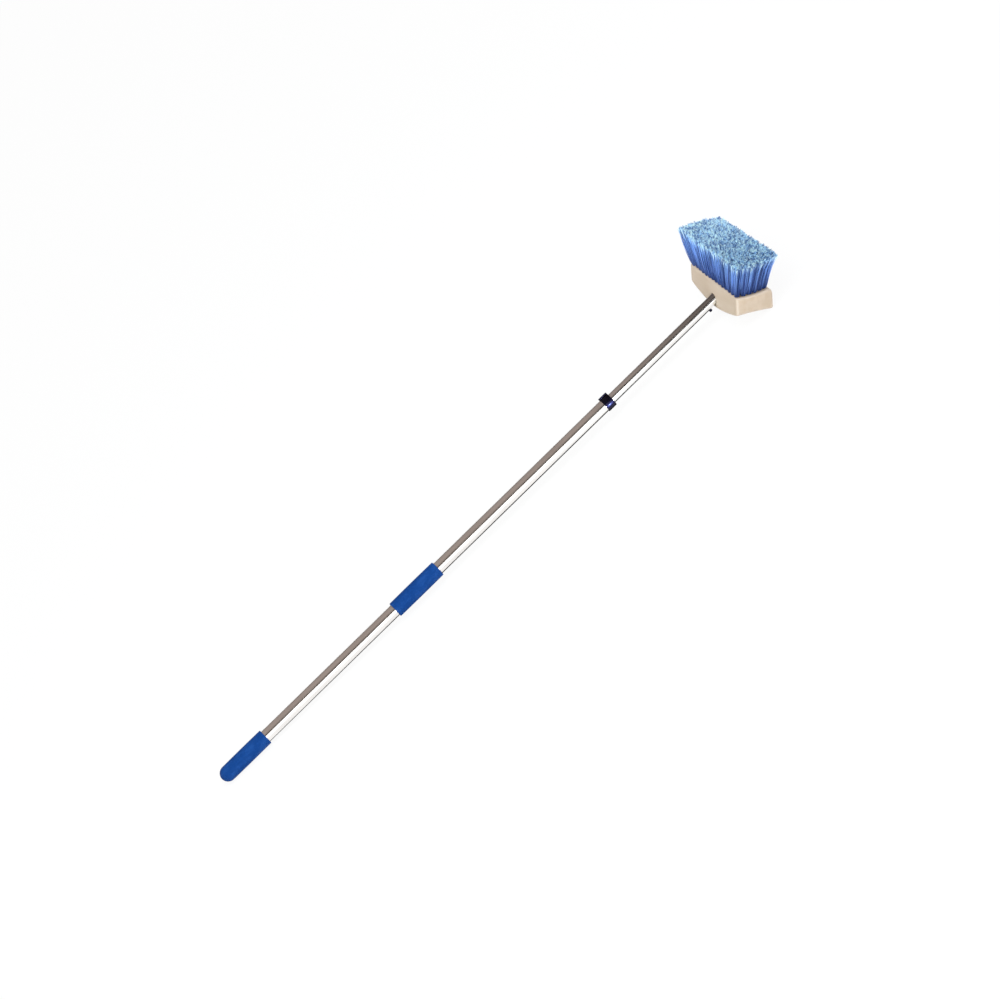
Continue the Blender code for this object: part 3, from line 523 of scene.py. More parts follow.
# %% Make the outer and the inner tube
EDGE_BREAK = 0.0003
BUTTON_OUT = -np.array(JOINTS["button_press"]["axis"])
BUTTON_LOW, BUTTON_HIGH = reach("snap_button")[:2]
BUTTON_STATION = (BUTTON_LOW + BUTTON_HIGH) / 2
BUTTON_HOLE = 0.0043
HOLE_SIDES = 48


def tube_profile(low, high, bore, radius):
    """A tube's section, with its outer edges broken."""
    return [(low, bore), (low, radius - EDGE_BREAK), (low + EDGE_BREAK, radius),
            (high - EDGE_BREAK, radius), (high, radius - EDGE_BREAK), (high, bore)]


def straight_cutter(base, direction, radius, length):
    """A closed cylinder from a base point along a direction."""
    form = bmesh.new()
    turn = Vector(direction).to_track_quat("Z", "Y").to_matrix().to_4x4()
    middle = Matrix.Translation(Vector(base) + Vector(direction) * length / 2)
    bmesh.ops.create_cone(form, cap_ends=True, segments=HOLE_SIDES, radius1=radius, radius2=radius,
                          depth=length, matrix=middle @ turn)
    mesh = bpy.data.meshes.new("cylinder")
    form.to_mesh(mesh)
    form.free()
    return mesh


outer_mesh = turned_mesh(tube_profile(OUTER_LOW, OUTER_HIGH, OUTER_BORE, OUTER_RADIUS))
dress("outer_tube", outer_mesh, "outer", OUTER_METAL)

inner_mesh = turned_mesh(tube_profile(INNER_LOW, INNER_HIGH, INNER_BORE, INNER_RADIUS))
button_base = MOUTH + BUTTON_STATION * POLE
button_cutter = straight_cutter(button_base, BUTTON_OUT, BUTTON_HOLE, 2 * INNER_RADIUS)
dress("inner_tube", cut(inner_mesh, button_cutter), "inner", INNER_METAL)

# %% [markdown]
# ## The two grips
#
# The bottom grip is dipped: it closes over the pole's end in a round cap. The mid grip is a plain
# sleeve, open at both ends, with rolled rims. Both swell very slightly between their ends, as
# foam does when it is pushed on to a tube.

# %% Make the bottom grip and the mid grip
RIM = 0.0016
SWELL = 0.0003
BODY_ROWS = 24
CAP_STEPS = 28


def swollen(low, high, radius):
    """The grip's side: radius - swell * (1 - sin(pi * share)), from the low end to the high one."""
    share = np.linspace(0, 1, BODY_ROWS)
    return np.column_stack((low + (high - low) * share, radius - SWELL * (1 - np.sin(np.pi * share))))


def bottom_grip_mesh():
    """Inner floor, bore, rolled rim, swollen side and round cap, from axis to axis."""
    low, high, _, radius = reach("bottom_grip")
    plug_low = reach("end_plug")[0]
    bore = OUTER_RADIUS + EDGE_BREAK
    rim = arc(high - RIM, radius - SWELL - RIM, RIM, 90, 0)
    cap = arc(low + radius, 0, radius, 0, -90, CAP_STEPS)[1:]
    side = swollen(low + radius, high - RIM, radius)[::-1]
    cap[:, 1] *= side[-1, 1] / radius
    inside = [(plug_low - EDGE_BREAK, 0), (plug_low - EDGE_BREAK, bore), (high, bore)]
    cap[-1, 1] = 0
    return turned_mesh([inside, rim, side[1:], cap], ring=False)


def mid_grip_mesh():
    """Bore, two rolled rims and a swollen side."""
    low, high, bore, radius = reach("mid_grip")
    first = arc(low + RIM, radius - SWELL - RIM, RIM, -90, 0)
    last = arc(high - RIM, radius - SWELL - RIM, RIM, 0, 90)
    side = swollen(low + RIM, high - RIM, radius)[1:-1]
    return turned_mesh([[(low, bore)], first, side, last, [(high, bore)]])


dress("bottom_grip", bottom_grip_mesh(), "outer", GRIP_VINYL)
dress("mid_grip", mid_grip_mesh(), "outer", GRIP_VINYL)

# %% [markdown]
# ## Collar, screw and snap button
#
# These small pieces already have their final shape in the model, but each triangle stands alone
# and shades flat. A merged copy lets the rounds shade as rounds and keeps the real edges sharp.

# %% Smooth the small pieces
MERGE_DISTANCE = 0.000002


def merged_copy(node):
    """A node's mesh with its loose triangles joined."""
    form = bmesh.new()
    form.from_mesh(NODES[node].data)
    bmesh.ops.remove_doubles(form, verts=form.verts, dist=MERGE_DISTANCE)
    mesh = bpy.data.meshes.new("merged")
    form.to_mesh(mesh)
    form.free()
    return mesh


for node, body, material, slot in (
    ("guide_collar", "outer", COLLAR_GLOSS, "collar_black"),
    ("collar_screw", "outer", ZINC_STEEL, "zinc_steel"),
    ("snap_button", "button", COLLAR_GLOSS, "collar_black"),
):
    dress(node, merged_copy(node), body, material)

# %% [markdown]
# ## The button's spring
#
# A bent leaf of spring steel stands in the inner tube, between its far wall and the snap button.
# It gives way when the button is pressed; its merged copy rides on the inner tube with a mesh of its
# own.

# %% Dress the button's spring
def give_way(skin):
    """Measure the leaf's points along the button and give the skin a mesh of its own."""
    points = vertex_array(skin.data)
    height = points @ BUTTON_OUT
    points[height.argmin()].tolist()
    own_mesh(skin)


leaf = merged_copy("button_spring")
give_way(dress("button_spring", leaf, "inner", ZINC_STEEL))

# %% [markdown]
# ## The block
#
# The block is a box whose every side is bent: its front is drawn out to a soft ridge where the pole
# enters, its underside sags in a rounded V below that ridge and rises to the ends, its back flares
# and its ends bow outwards. It starts as a box of shares from -1 to 1. The edges are rounded in real
# millimetres, and one formula then bends the rounded box.

# %% Write the block's bend as a formula
BLOCK_TOP = ((vertex_array(NODES["brush_block"].data) - MOUTH) @ HEAD_UP).max()
BLOCK_HALF_LENGTH = 0.111
BLOCK_TOP_DEPTH = 0.0945
BLOCK_BACK_FLARE = 0.0075
BLOCK_END_BOW = 0.007
BLOCK_FRONT_RELIEF = 0.002
BLOCK_END_HEIGHT = 0.0495
BLOCK_END_RISE = 0.006
BLOCK_KEEL_DROP = 0.0205
BLOCK_BACK_DROP = 0.009
BLOCK_UNDER_ARCH = 0.003
BLOCK_ROUND = 0.0062
KEEL_ROUND_SHARE = 0.45
BACK_LEVEL_SHARE = 0.5
BACK_FADE_SHARE = 0.25
BACK_SHOULDER_SHARE = 0.3
END_ROUND_SHARE = 0.24
BELLY_TOP_SHARE = 0.25
BOW_AT_BASE_SHARE = 0.3


def keel(along):
    """1 at the block's middle and 0 at its ends, in a rounded V."""
    whole = math.hypot(1, KEEL_ROUND_SHARE) - KEEL_ROUND_SHARE
    return 1 - (np.hypot(along, KEEL_ROUND_SHARE) - KEEL_ROUND_SHARE) / whole


def bent_block(back_share, along_share, up_share):
    """A block point in the head's frame, from three shares that run from -1 to 1.

    Back is front + (rear - front) * depth, along is share * (half length + bow), and up is
    base + (top - base) * height, where front, rear, bow and base change over the block.
    """
    depth = (back_share + 1) / 2
    low = (1 - up_share) / 2
    belly = BELLY_TOP_SHARE + (1 - BELLY_TOP_SHARE) * np.minimum(1, 2 * low)
    front = BLOCK_FRONT_RELIEF * (1 - keel(along_share) * belly)
    shoulder = 1 - np.minimum(1, low / BACK_SHOULDER_SHARE)
    rear = BLOCK_TOP_DEPTH + BLOCK_BACK_FLARE * (1 - shoulder ** 2)
    past_level = np.maximum(0, np.abs(along_share) - BACK_LEVEL_SHARE) / (1 - BACK_LEVEL_SHARE)
    drop = (1 - depth) * BLOCK_KEEL_DROP * keel(along_share)
    drop = drop + depth * BLOCK_BACK_DROP * (1 - BACK_FADE_SHARE * past_level ** 2)
    past_end = np.maximum(0, np.abs(along_share) - 1 + END_ROUND_SHARE) / END_ROUND_SHARE
    rise = (1 - depth) * BLOCK_END_RISE * (1 - np.sqrt(1 - np.minimum(1, past_end) ** 2))
    arch = BLOCK_UNDER_ARCH * (1 - back_share ** 2)
    base = BLOCK_TOP - BLOCK_END_HEIGHT + rise - drop + arch
    bow_share = BOW_AT_BASE_SHARE + (1 - BOW_AT_BASE_SHARE) * (1 - low)
    bow = BLOCK_END_BOW * (1 - back_share ** 2) * bow_share
    return (front + (rear - front) * depth, along_share * (BLOCK_HALF_LENGTH + bow),
            base + (BLOCK_TOP - base) * (1 - low))


print("the block's top lies", round(1000 * BLOCK_TOP, 1), "mm above the pole's mouth")

# %% Bend a rounded box into the block and bore its socket
BLOCK_CELLS = (40, 88, 36)
MOUTH_PLAY = 0.0006
MOUTH_FLARE = 0.0024
MOUTH_FLARE_RUN = 0.010


def box_grid(cells):
    """A closed grid over a box from -1 to 1, whose rows crowd towards the edges as a sine does."""
    corners, groups, base = [], [], 0
    for axis in range(3):
        first, second = (axis + 1) % 3, (axis + 2) % 3
        u, v = np.meshgrid(np.arange(cells[first] + 1), np.arange(cells[second] + 1), indexing="ij")
        index = np.arange(u.size).reshape(u.shape)
        quads = np.stack((index[:-1, :-1], index[1:, :-1], index[1:, 1:], index[:-1, 1:]), axis=-1)
        quads = quads.reshape(-1, 4)
        for end, faces in ((0, quads[:, ::-1]), (cells[axis], quads)):
            side = np.empty((u.size, 3), int)
            side[:, axis] = end
            side[:, first] = u.ravel()
            side[:, second] = v.ravel()
            corners.append(side)
            groups.append(faces + base)
            base += u.size
    lattice, place = np.unique(np.vstack(corners), axis=0, return_inverse=True)
    shares = np.sin(np.pi / 2 * (2 * lattice / np.array(cells) - 1))
    return shares, place.reshape(-1)[np.vstack(groups)]


def block_mesh():
    """The rounded, bent box: inner box + round * (cube point - inner box) / its length, then bent.

    Its lower back edge is worn flat where it rests on the floor. Each point keeps how far it lies
    on a rounded edge: the middle part of its outward direction, which is 0 on a flat side.
    """
    shares, quads = box_grid(BLOCK_CELLS)
    half = np.array((BLOCK_TOP_DEPTH / 2, BLOCK_HALF_LENGTH, BLOCK_END_HEIGHT / 2))
    reach_out = shares * half
    inner = np.clip(reach_out, BLOCK_ROUND - half, half - BLOCK_ROUND)
    outward = reach_out - inner
    length = np.linalg.norm(outward, axis=1, keepdims=True)
    rounded = (inner + BLOCK_ROUND * outward / length) / half
    points = in_head(*bent_block(*rounded.T))
    points[:, 2] = np.maximum(points[:, 2], 0)
    mesh = solid_mesh(points, [quads])
    second_part = np.sort(np.abs(outward / length), axis=1)[:, 1]
    # The edge share feeds the finish's painted highlight on the rounded edges.
    store(mesh, "edge", np.minimum(1, math.sqrt(2) * second_part))
    return mesh


def mouth_cutter():
    """The socket: a bore that fits the inner tube, flared where the pole enters."""
    bore = INNER_RADIUS + MOUTH_PLAY
    wide = bore + MOUTH_FLARE
    end = reach("tip_fitting")[1] + MOUTH_PLAY
    profile = [(-BLOCK_TOP, 0), (-BLOCK_TOP, wide), (-MOUTH_FLARE_RUN, wide),
               (MOUTH_FLARE_RUN, bore), (end, bore), (end, 0)]
    return turned_mesh([profile], ring=False)


dress("brush_block", cut(block_mesh(), mouth_cutter()), "inner", BLOCK_FOAM)

# %% [markdown]
# ## The bristles
#
# The bristles stand in tufts, in rows along the block. A tuft is gripped tightly in its hole and
# fans out at once to fill its own cell of the field, and the whole field flares towards its tips.
# A filament is a thin three-sided tube along a path, and its end is split into finer hairs. All the
# filaments of a row are worked out together as arrays.

# %% Lay out the field of tufts
ROWS = 6
TUFTS = 14
FILAMENTS = 230
RIM_SIDE = 0.003
RIM_END = 0.0075
FIELD_FRONT = RIM_SIDE + BLOCK_FRONT_RELIEF * (1 - BELLY_TOP_SHARE)
FIELD_BACK = BLOCK_TOP_DEPTH - RIM_SIDE
FIELD_MIDDLE = np.array(((FIELD_FRONT + FIELD_BACK) / 2, 0.0))
FIELD_HALF = np.array(((FIELD_BACK - FIELD_FRONT) / 2, BLOCK_HALF_LENGTH - RIM_END))
CELL = FIELD_HALF / (ROWS, TUFTS)
EVEN_STEPS = (0.7548776662, 0.5698402910)
SPREAD_JITTER = 0.05


def field_length(back):
    """Half the field's length at a place across it: its ends bow outwards like the block's."""
    return FIELD_HALF[1] + BLOCK_END_BOW * (1 - ((back - FIELD_MIDDLE[0]) / FIELD_HALF[0]) ** 2)


def spread_points(count, rng):
    """Evenly spread points from -1 to 1: multiples of two even steps, and a small jitter.

    The steps are 1 / p and 1 / p ** 2, where p ** 3 = p + 1.
    """
    steps = np.arange(1, count + 1)[:, None] * np.array(EVEN_STEPS)
    jitter = rng.normal(0, SPREAD_JITTER, (count, 2))
    return 2 * ((steps + rng.random(2)) % 1) - 1 + jitter


print("tufts", ROWS * TUFTS, "filaments", ROWS * TUFTS * FILAMENTS)

# %% [markdown]
# The tufts of a row stand in line, each a little astray. Their tips spread with the field's flare
# and lean a little, as used bristles do. A tuft's filaments cling together in bunches, so each one
# is pulled part of the way to the middle of its bunch.

# %% Place a row's tufts, tips and bunches
TUFT_STRAY = 0.0007
FRONT_SHIFT = 0.0012
FLARE = np.array((0.013, 0.029))
TIP_LEAN = 0.0025
TIP_SHEAR = 0.0035
TUFT_SWAY = 0.0008
TUFT_ROOT = 0.0056
CELL_OVERLAP = 1.06
BUNCHES = 92
BUNCH_PULL = 0.45


def of_bunch(values, bunch):
    """Hand every filament its bunch's value, from an array (tuft, bunch, ...)."""
    return values[np.arange(TUFTS)[:, None], bunch]


def row_tips(row, rng):
    """The tufts' roots and tips, the filaments' offsets from both, and their bunches.

    A tip is middle + grow * (tuft - middle) + lean - shear * share, and a random sway. The offsets
    fill a disc at the root and a cell of the field at the tip.
    """
    back = FIELD_FRONT + CELL[0] * (2 * row + 1)
    along_share = (2 * np.arange(TUFTS) + 1) / TUFTS - 1
    tuft = np.column_stack((np.full(TUFTS, back), along_share * field_length(back)))
    tuft = tuft + rng.normal(0, TUFT_STRAY, tuft.shape)
    tuft[:, 0] -= FRONT_SHIFT * (row == 0)
    square = np.stack([spread_points(FILAMENTS, rng) for _ in range(TUFTS)])
    heads = np.stack([spread_points(BUNCHES, rng) for _ in range(TUFTS)])
    apart = np.linalg.norm(square[:, :, None, :] - heads[:, None, :, :], axis=-1)
    bunch = apart.argmin(axis=-1)
    gathered = square + BUNCH_PULL * (of_bunch(heads, bunch) - square)
    across = np.linalg.norm(square, axis=-1, keepdims=True)
    disc = square * np.abs(square).max(axis=-1, keepdims=True) / across
    grow = 1 + FLARE / FIELD_HALF
    tip_axis = FIELD_MIDDLE + grow * (tuft - FIELD_MIDDLE)
    share = (tip_axis - FIELD_MIDDLE) / (grow * FIELD_HALF)
    tip_axis[:, 0] += TIP_LEAN - TIP_SHEAR * share[:, 1]
    tip_axis = tip_axis + rng.normal(0, TUFT_SWAY, tip_axis.shape)
    return tuft, tip_axis, disc * TUFT_ROOT, gathered * CELL * grow * CELL_OVERLAP, bunch


print("bunches in a tuft", BUNCHES)

# %% [markdown]
# A filament's middle line starts in its tuft's hole and ends in its share of the cell. Its lean
# towards the field's edge grows steadily, with a little more curve at the far end, while its own
# offset from the tuft's axis opens quickly near the root. Bunches differ in waver, length and tone,
# and a few single filaments stray.

# %% Work out the middle lines of a row
RINGS = np.array((0.0, 0.12, 0.36, 0.68, 0.93))
FRONT_CURVE = 0.12
BACK_CURVE = 0.55
FAN_RATE = 7.0
STEADY_SHARE = 0.45
BUNCH_WAVER = 0.0015
WAVER = 0.0006
STRAY_SHARE = 0.03
STRAY_REACH = 0.0022
TRIM_HEIGHT = 0.094
TRIM_DROOP = 0.0035
DROOP_REACH = 1.1
DROOP_POWER = 4
TRIM_TWIST = 0.006
LENGTH_NOISE = 0.0009
BUNCH_NOISE = 0.0019
ROOT_DEPTH = 0.0014


def trimmed_lengths(row, tip_axis, tip_offset, bunch, rng):
    """Height - droop * edge ** power - twist * share along * share back, and random differences."""
    flared = FIELD_HALF + FLARE
    along_share = tip_axis[:, 1] / flared[1]
    edge = np.abs(tip_offset + tip_axis[:, None, :] - FIELD_MIDDLE)
    edge = (edge / flared).max(axis=-1)
    tall = TRIM_HEIGHT - TRIM_DROOP * np.clip(edge, 0, DROOP_REACH) ** DROOP_POWER
    tall = tall - TRIM_TWIST * along_share[:, None] * row / (ROWS - 1)
    tall = tall + rng.normal(0, LENGTH_NOISE, tall.shape)
    return tall + of_bunch(rng.normal(0, BUNCH_NOISE, (TUFTS, BUNCHES)), bunch)


def middle_lines(row, rings, rng):
    """Points (tuft, filament, ring, 3) in the head's frame, and the tone of every one's bunch.

    A point lies at axis(t) + offset(t) + waver * sin(pi * t) + stray * t ** 3, at a height that
    is t times the filament's length.
    """
    tuft, tip_axis, root_offset, tip_offset, bunch = row_tips(row, rng)
    t = rings[None, None, :, None]
    curve = FRONT_CURVE + (BACK_CURVE - FRONT_CURVE) * row / (ROWS - 1)
    lean = (tip_axis - tuft)[:, None, None, :] * ((1 - curve) * t + curve * t ** 3)
    fan = (1 - np.exp(-FAN_RATE * t)) / (1 - math.exp(-FAN_RATE))
    fan = (1 - STEADY_SHARE) * fan + STEADY_SHARE * t
    offset = root_offset[:, :, None, :] * (1 - fan) + tip_offset[:, :, None, :] * fan
    waver = of_bunch(rng.normal(0, BUNCH_WAVER, (TUFTS, BUNCHES, 2)), bunch)
    waver = waver + rng.normal(0, WAVER, waver.shape)
    bend = waver[:, :, None, :] * np.sin(np.pi * t)
    stray = (rng.random((TUFTS, FILAMENTS, 1, 1)) < STRAY_SHARE) * STRAY_REACH
    bend = bend + stray * rng.normal(0, 1, (TUFTS, FILAMENTS, 1, 2)) * t ** 3
    flat = tuft[:, None, None, :] + lean + offset + bend
    tall = trimmed_lengths(row, tip_axis, tip_offset, bunch, rng)
    tone = of_bunch(rng.random((TUFTS, BUNCHES)), bunch)
    up = BLOCK_TOP - ROOT_DEPTH + (tall + ROOT_DEPTH)[:, :, None, None] * t
    return np.concatenate((flat, up), axis=-1), tone.ravel()


print("trimmed", round(1000 * TRIM_HEIGHT), "mm above the block")

# %% [markdown]
# Three points round each ring make the tube, and three short spikes to a filament make the split
# end. The tubes close at both ends. Every vertex stores its place along the filament and its tone.

# %% Build one row of filaments as a mesh
SEED = 7
SIDES = 3
SHAFT_RADIUS = 0.00036
SHAFT_TIP_RADIUS = 0.00048
HAIRS = 3
HAIR_RINGS = np.array((0.90, 1.0))
HAIR_OVERLAP = 0.4
HAIR_SPREAD = 0.0011
HAIR_RADIUS = 0.00030
TONE_SHARE = 0.88


def tubes(lines, radii, twist):
    """Vertices (filament, ring, side, 3) round flat-lying rings, and the faces that join them."""
    count, rings = lines.shape[:2]
    angle = twist[:, None, None] + 2 * math.pi * np.arange(SIDES) / SIDES
    ring = np.concatenate((np.cos(angle), np.sin(angle)), axis=1).transpose(0, 2, 1)
    points = np.repeat(lines[:, :, None, :], SIDES, axis=2)
    points[..., :2] += radii[None, :, None, None] * ring[:, None, :, :]
    step = np.arange(SIDES)
    base = (np.arange(rings - 1) * SIDES)[:, None]
    first, following = base + step, base + (step + 1) % SIDES
    side = np.stack((first, following, following + SIDES, first + SIDES), axis=-1).reshape(-1, 4)
    caps = np.array((step[::-1], (rings - 1) * SIDES + step))
    start = (np.arange(count) * rings * SIDES)[:, None, None]
    return points.reshape(-1, 3), (start + side).reshape(-1, 4), (start + caps).reshape(-1, SIDES)


def row_mesh(row):
    """All the filaments of a row, shafts and split ends, with their along and tone values."""
    rng = np.random.default_rng(SEED + row)
    lines, bunch_tone = middle_lines(row, np.append(RINGS, 1.0), rng)
    lines = lines.reshape(-1, len(RINGS) + 1, 3)
    count = len(lines)
    tone = TONE_SHARE * bunch_tone + (1 - TONE_SHARE) * rng.random(count)
    radii = np.interp(RINGS, (0, 1), (SHAFT_RADIUS, SHAFT_TIP_RADIUS))
    shafts, shaft_sides, shaft_caps = tubes(lines[:, :-1], radii, rng.random(count) * 2 * math.pi)
    run = lines[:, -1] - lines[:, -2]
    root = np.repeat(lines[:, -2] - HAIR_OVERLAP * run, HAIRS, axis=0)
    tip = np.repeat(lines[:, -1], HAIRS, axis=0)
    tip[:, :2] += rng.normal(0, HAIR_SPREAD, (len(tip), 2))
    tip[:, 2] -= np.abs(rng.normal(0, LENGTH_NOISE, len(tip)))
    radii = np.full(len(HAIR_RINGS), HAIR_RADIUS)
    hairs, hair_sides, hair_caps = tubes(np.stack((root, tip), axis=1), radii,
                                         rng.random(len(tip)) * 2 * math.pi)
    points = in_head(*np.vstack((shafts, hairs)).T)
    groups = [np.vstack((shaft_sides, hair_sides + len(shafts))),
              np.vstack((shaft_caps, hair_caps + len(shafts)))]
    mesh = solid_mesh(points, groups)
    along = [np.tile(np.repeat(RINGS, SIDES), count), np.tile(np.repeat(HAIR_RINGS, SIDES), len(tip))]
    tones = [np.repeat(tone, len(RINGS) * SIDES), np.repeat(tone, HAIRS * len(HAIR_RINGS) * SIDES)]
    store(mesh, "along", np.concatenate(along))
    store(mesh, "tone", np.concatenate(tones))
    return mesh


for row in range(ROWS):
    dress(f"trim_row_{row + 1}", row_mesh(row), "inner", BRISTLE_BLUE)

# %% [markdown]
# ## Paints of the stage
#
# The brush is photographed on white. The floor adds light of its own only where it is looked at,
# so the brush's shadow stays. The card and the flags are seen in reflections alone, so each is just
# a glow. The card's is grey-brown, dark near its two edges, and fades beyond the head.

# %% Mix the paints of floor, card, painted shadow and flag
FLOOR_GLOW = 0.92
CARD_GLOW = 0.93
CARD_FADE = 0.73
FADE_RUN = (0.70, 1.08)


def seen_directly(tree):
    """1 where the camera, a reflection or a clear part looks, and 0 where light bounces."""
    rays = [tree.node("ShaderNodeLightPath", output=f"Is {word} Ray")
            for word in ("Camera", "Glossy", "Transmission")]
    return tree.node("ShaderNodeClamp", {"Value": rays[0] + rays[1] + rays[2]})


def glow(finish, colour, strength=1.0):
    """Light that a surface gives off by itself."""
    return finish.node("ShaderNodeEmission", {"Color": colour, "Strength": strength})


def floor_paint():
    """Pale paint, lit plainly, with white light added where it is looked at."""
    finish = Finish("floor_paint", Base_Color=(0.90, 0.90, 0.90, 1.0), Roughness=0.9)
    grain = finish.noise(0.02, 2.0, seed=61.0)
    finish.paint(Normal=finish.bump(grain, 0.00002, 0.3))
    lit = Wire(finish, finish.shader.outputs["BSDF"])
    links = {0: FLOOR_GLOW * seen_directly(finish), 1: lit, 2: glow(finish, (1, 1, 1, 1))}
    return finish.show(finish.node("ShaderNodeMixShader", links))


def card_paint():
    """Grey-brown light by the place round the card, less strong beyond the head."""
    finish = Finish("card_paint")
    stops = ((0.0, (0.08, 0.07, 0.065)), (0.24, (0.12, 0.10, 0.095)), (0.36, (0.37, 0.31, 0.285)),
             (0.74, (0.39, 0.33, 0.30)), (0.84, (0.30, 0.25, 0.225)), (0.90, (0.12, 0.10, 0.09)),
             (1.0, (0.11, 0.09, 0.08)))
    colour = finish.node("ShaderNodeValToRGB", {"Fac": finish.stored("round")}, stops=stops)
    spot = finish.node("ShaderNodeTexCoord", output="Object")
    along = finish.node("ShaderNodeSeparateXYZ", {0: spot})
    strength = CARD_GLOW - CARD_FADE * finish.between(along, *FADE_RUN)
    return finish.show(glow(finish, colour, strength))


def flag_paint():
    """Near-black glow with a faint weave: a painted shadow under the pole, and the dark of the flag."""
    finish = Finish("flag_paint")
    weave = finish.noise(0.003, 2.0, seed=71.0)
    colour = finish.blend(weave, (0.02, 0.019, 0.018), (0.04, 0.038, 0.036))
    return finish.show(glow(finish, colour))


FLOOR_PAINT, CARD_PAINT, SHADOW_AND_FLAG_PAINT = floor_paint(), card_paint(), flag_paint()
print("stage paints mixed")

# %% [markdown]
# ## Floor, card, painted shadow and flag
#
# A polished tube shows whatever stands round it, so a large card over and behind the brush draws
# the long grey-brown band along the tubes. A near-black sheet under the pole, seen in reflections
# alone, is a painted shadow that the tubes mirror as the dark line along their lower edge. A flag, as a
# studio calls its black cloths, trims the front light's reflection by the head.

# %% Lay the floor, hang the card, lay the painted shadow and set the flag
FLOOR = ((-60, -60, -0.0002), (60, -60, -0.0002), (60, 60, -0.0002), (-60, 60, -0.0002))
CARD_RADIUS = 4.0
CARD_HALF_LENGTH = 7.0
CARD_LOW = math.radians(-32)
CARD_HIGH = math.radians(142)
CARD_ROWS = 60
SHADOW_SHEET_AND_FLAG = {
    # A painted shadow: this sheet lies under the pole, and only the tubes' reflections show it.
    "painted_floor_shadow": ((-0.95, -0.011, 0.0004), (0.72, -0.0319, 0.0004), (0.72, 0.174, 0.0004),
                   (-0.95, 0.060, 0.0004)),
    "upper_flag": ((0.47, -1.5, 1.04), (1.0, -1.5, 0.25), (1.0, -1.5, 1.75), (0.47, -1.5, 1.75)),
}


def flat_stage(name, points, material, quads=((0, 1, 2, 3),)):
    """A stage surface: part of the set, not of the brush."""
    mesh = bpy.data.meshes.new(name)
    mesh.from_pydata(points, [], quads)
    mesh.materials.append(material)
    item = bpy.data.objects.new(name, mesh)
    COLLECTION.objects.link(item)
    return item


def mirrored_only(item):
    """Show a stage piece in reflections alone."""
    for word in ("camera", "diffuse", "transmission", "volume_scatter", "shadow"):
        setattr(item, f"visible_{word}", False)


def reflection_card():
    """A strip of a cylinder round the brush: radius * (cos, sin) from low to high angle."""
    share = np.linspace(0, 1, CARD_ROWS + 1)
    angle = CARD_LOW + (CARD_HIGH - CARD_LOW) * share
    edge = CARD_RADIUS * np.column_stack((0 * angle, np.cos(angle), np.sin(angle)))
    end = np.array((CARD_HALF_LENGTH, 0, 0))
    points = np.vstack((edge - end, edge + end))
    first = np.arange(CARD_ROWS)
    second = first + CARD_ROWS + 1
    quads = np.column_stack((first, first + 1, second + 1, second))
    card = flat_stage("reflection_card", points.tolist(), CARD_PAINT, quads.tolist())
    store(card.data, "round", np.concatenate((share, share)))
    mirrored_only(card)


flat_stage("floor", FLOOR, FLOOR_PAINT)
reflection_card()
for name, corners in SHADOW_SHEET_AND_FLAG.items():
    mirrored_only(flat_stage(name, corners, SHADOW_AND_FLAG_PAINT))
print("floor, card and flags in place")

# %% [markdown]
# ## Light
#
# One long softbox stands in front, low enough for the tubes to mirror it as one bright band. A small
# strip, seen in reflections alone, gives the glossy collar its streak. Two side boxes light the head
# from both ends, and a wide one overhead, which nothing mirrors, the tops of the bristles. The world
# is white to look at and dimmer as a light.

# %% Set up the studio
WORLD_TINT = (0.735, 0.729125, 0.72325, 1.0)


def softbox(name, centre, aim, size, power, colour=(1.0, 1.0, 1.0)):
    """A rectangular lamp that faces a point. It isn't seen by the camera itself."""
    lamp = bpy.data.lights.new(name, "AREA")
    lamp.shape = "RECTANGLE"
    lamp.size, lamp.size_y = size
    lamp.energy = power
    lamp.color = colour
    holder = bpy.data.objects.new(name, lamp)
    COLLECTION.objects.link(holder)
    holder.location = centre
    holder.rotation_euler = (Vector(aim) - Vector(centre)).to_track_quat("-Z", "Y").to_euler()
    holder.visible_camera = False
    return holder


softbox("front_box", (0.1, -2.27, 0.80), (0.1, 0, 0.04), (5.0, 1.55), 29.0)
strip = softbox("collar_strip", (0.394, -0.35, 0.012), (0.385, 0, 0.049), (0.042, 0.020), 1.8,
                (0.66, 0.93, 1.0))
strip.visible_diffuse = False
softbox("grip_side_box", (-2.4, -1.2, 1.6), (0.75, 0, 0.08), (1.4, 1.4), 9.5, (1.0, 0.95, 0.85))
softbox("head_side_box", (2.9, -0.3, 1.3), (0.8, 0, 0.12), (1.4, 1.4), 6.6)
overhead = softbox("top_box", (0.2, -1.0, 3.0), (0.3, 0, 0.08), (3.0, 1.2), 66.0, (0.88, 0.945, 1.0))
overhead.visible_glossy = False


def studio_world():
    """White where it is looked at, a faintly warm grey where it lights."""
    world = NodeTree(bpy.data.worlds.new("studio"))
    look = world.tree.nodes["Background"]
    look.inputs["Color"].default_value = (1, 1, 1, 1)
    light = world.node("ShaderNodeBackground", {"Color": WORLD_TINT})
    links = {0: seen_directly(world), 1: light, 2: Wire(world, look.outputs[0])}
    return world.show(world.node("ShaderNodeMixShader", links))


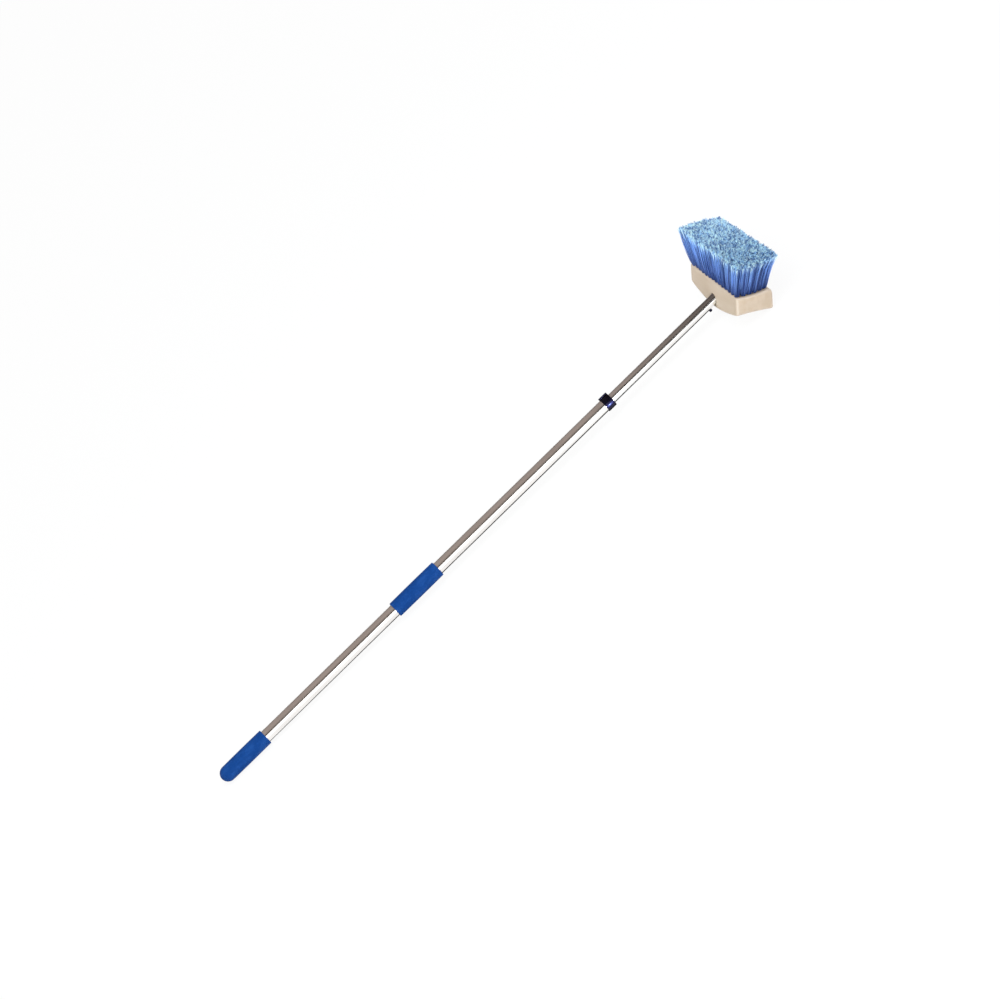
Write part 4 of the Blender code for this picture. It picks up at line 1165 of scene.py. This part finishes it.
bpy.context.scene.world = studio_world()
bpy.context.scene.view_settings.view_transform = "Standard"
print("studio lit")

# %% [markdown]
# ## Camera
#
# The photograph looks down at the brush from its right, with a long lens, and it is turned so that
# the pole runs up the picture's diagonal. The view's direction and turn are given round the pole,
# and the pole's mouth in the block is set on its own place in the picture.

# %% Place the camera
VIEW_AZIMUTH = math.radians(-4.41)
VIEW_ELEVATION = math.radians(38.74)
VIEW_ROLL = math.radians(-44.32)
VIEW_DISTANCE = 14.3
FOCAL_PIXELS = 6000.0
PICTURE_PIXELS = 1000.0
MOUTH_PIXEL = (713.3, 299.3)
SENSOR_WIDTH = 36.0
FAR_LIMIT = 100.0


def place_camera():
    """Stand back along the view's direction, so that the mouth falls on its pixel."""
    towards = (math.sin(VIEW_AZIMUTH) * math.cos(VIEW_ELEVATION) * POLE
               - math.cos(VIEW_AZIMUTH) * math.cos(VIEW_ELEVATION) * SIDE
               + math.sin(VIEW_ELEVATION) * RISE)
    level = POLE - (POLE @ towards) * towards
    level = level / np.linalg.norm(level)
    upright = np.cross(towards, level)
    right = level * math.cos(VIEW_ROLL) + upright * math.sin(VIEW_ROLL)
    up = upright * math.cos(VIEW_ROLL) - level * math.sin(VIEW_ROLL)
    scale = VIEW_DISTANCE / FOCAL_PIXELS
    across = (MOUTH_PIXEL[0] - PICTURE_PIXELS / 2) * scale
    above = (PICTURE_PIXELS / 2 - MOUTH_PIXEL[1]) * scale
    place = MOUTH - across * right - above * up + VIEW_DISTANCE * towards
    data = bpy.data.cameras.new("photo_view")
    data.sensor_width = SENSOR_WIDTH
    data.lens = SENSOR_WIDTH * FOCAL_PIXELS / PICTURE_PIXELS
    data.clip_end = FAR_LIMIT
    camera = bpy.data.objects.new("photo_view", data)
    COLLECTION.objects.link(camera)
    camera.matrix_world = Matrix.Translation(place) @ Matrix((right, up, towards)).transposed().to_4x4()
    bpy.context.scene.camera = camera
    return camera


CAMERA = place_camera()
print("camera at", [round(value, 3) for value in CAMERA.matrix_world.translation])
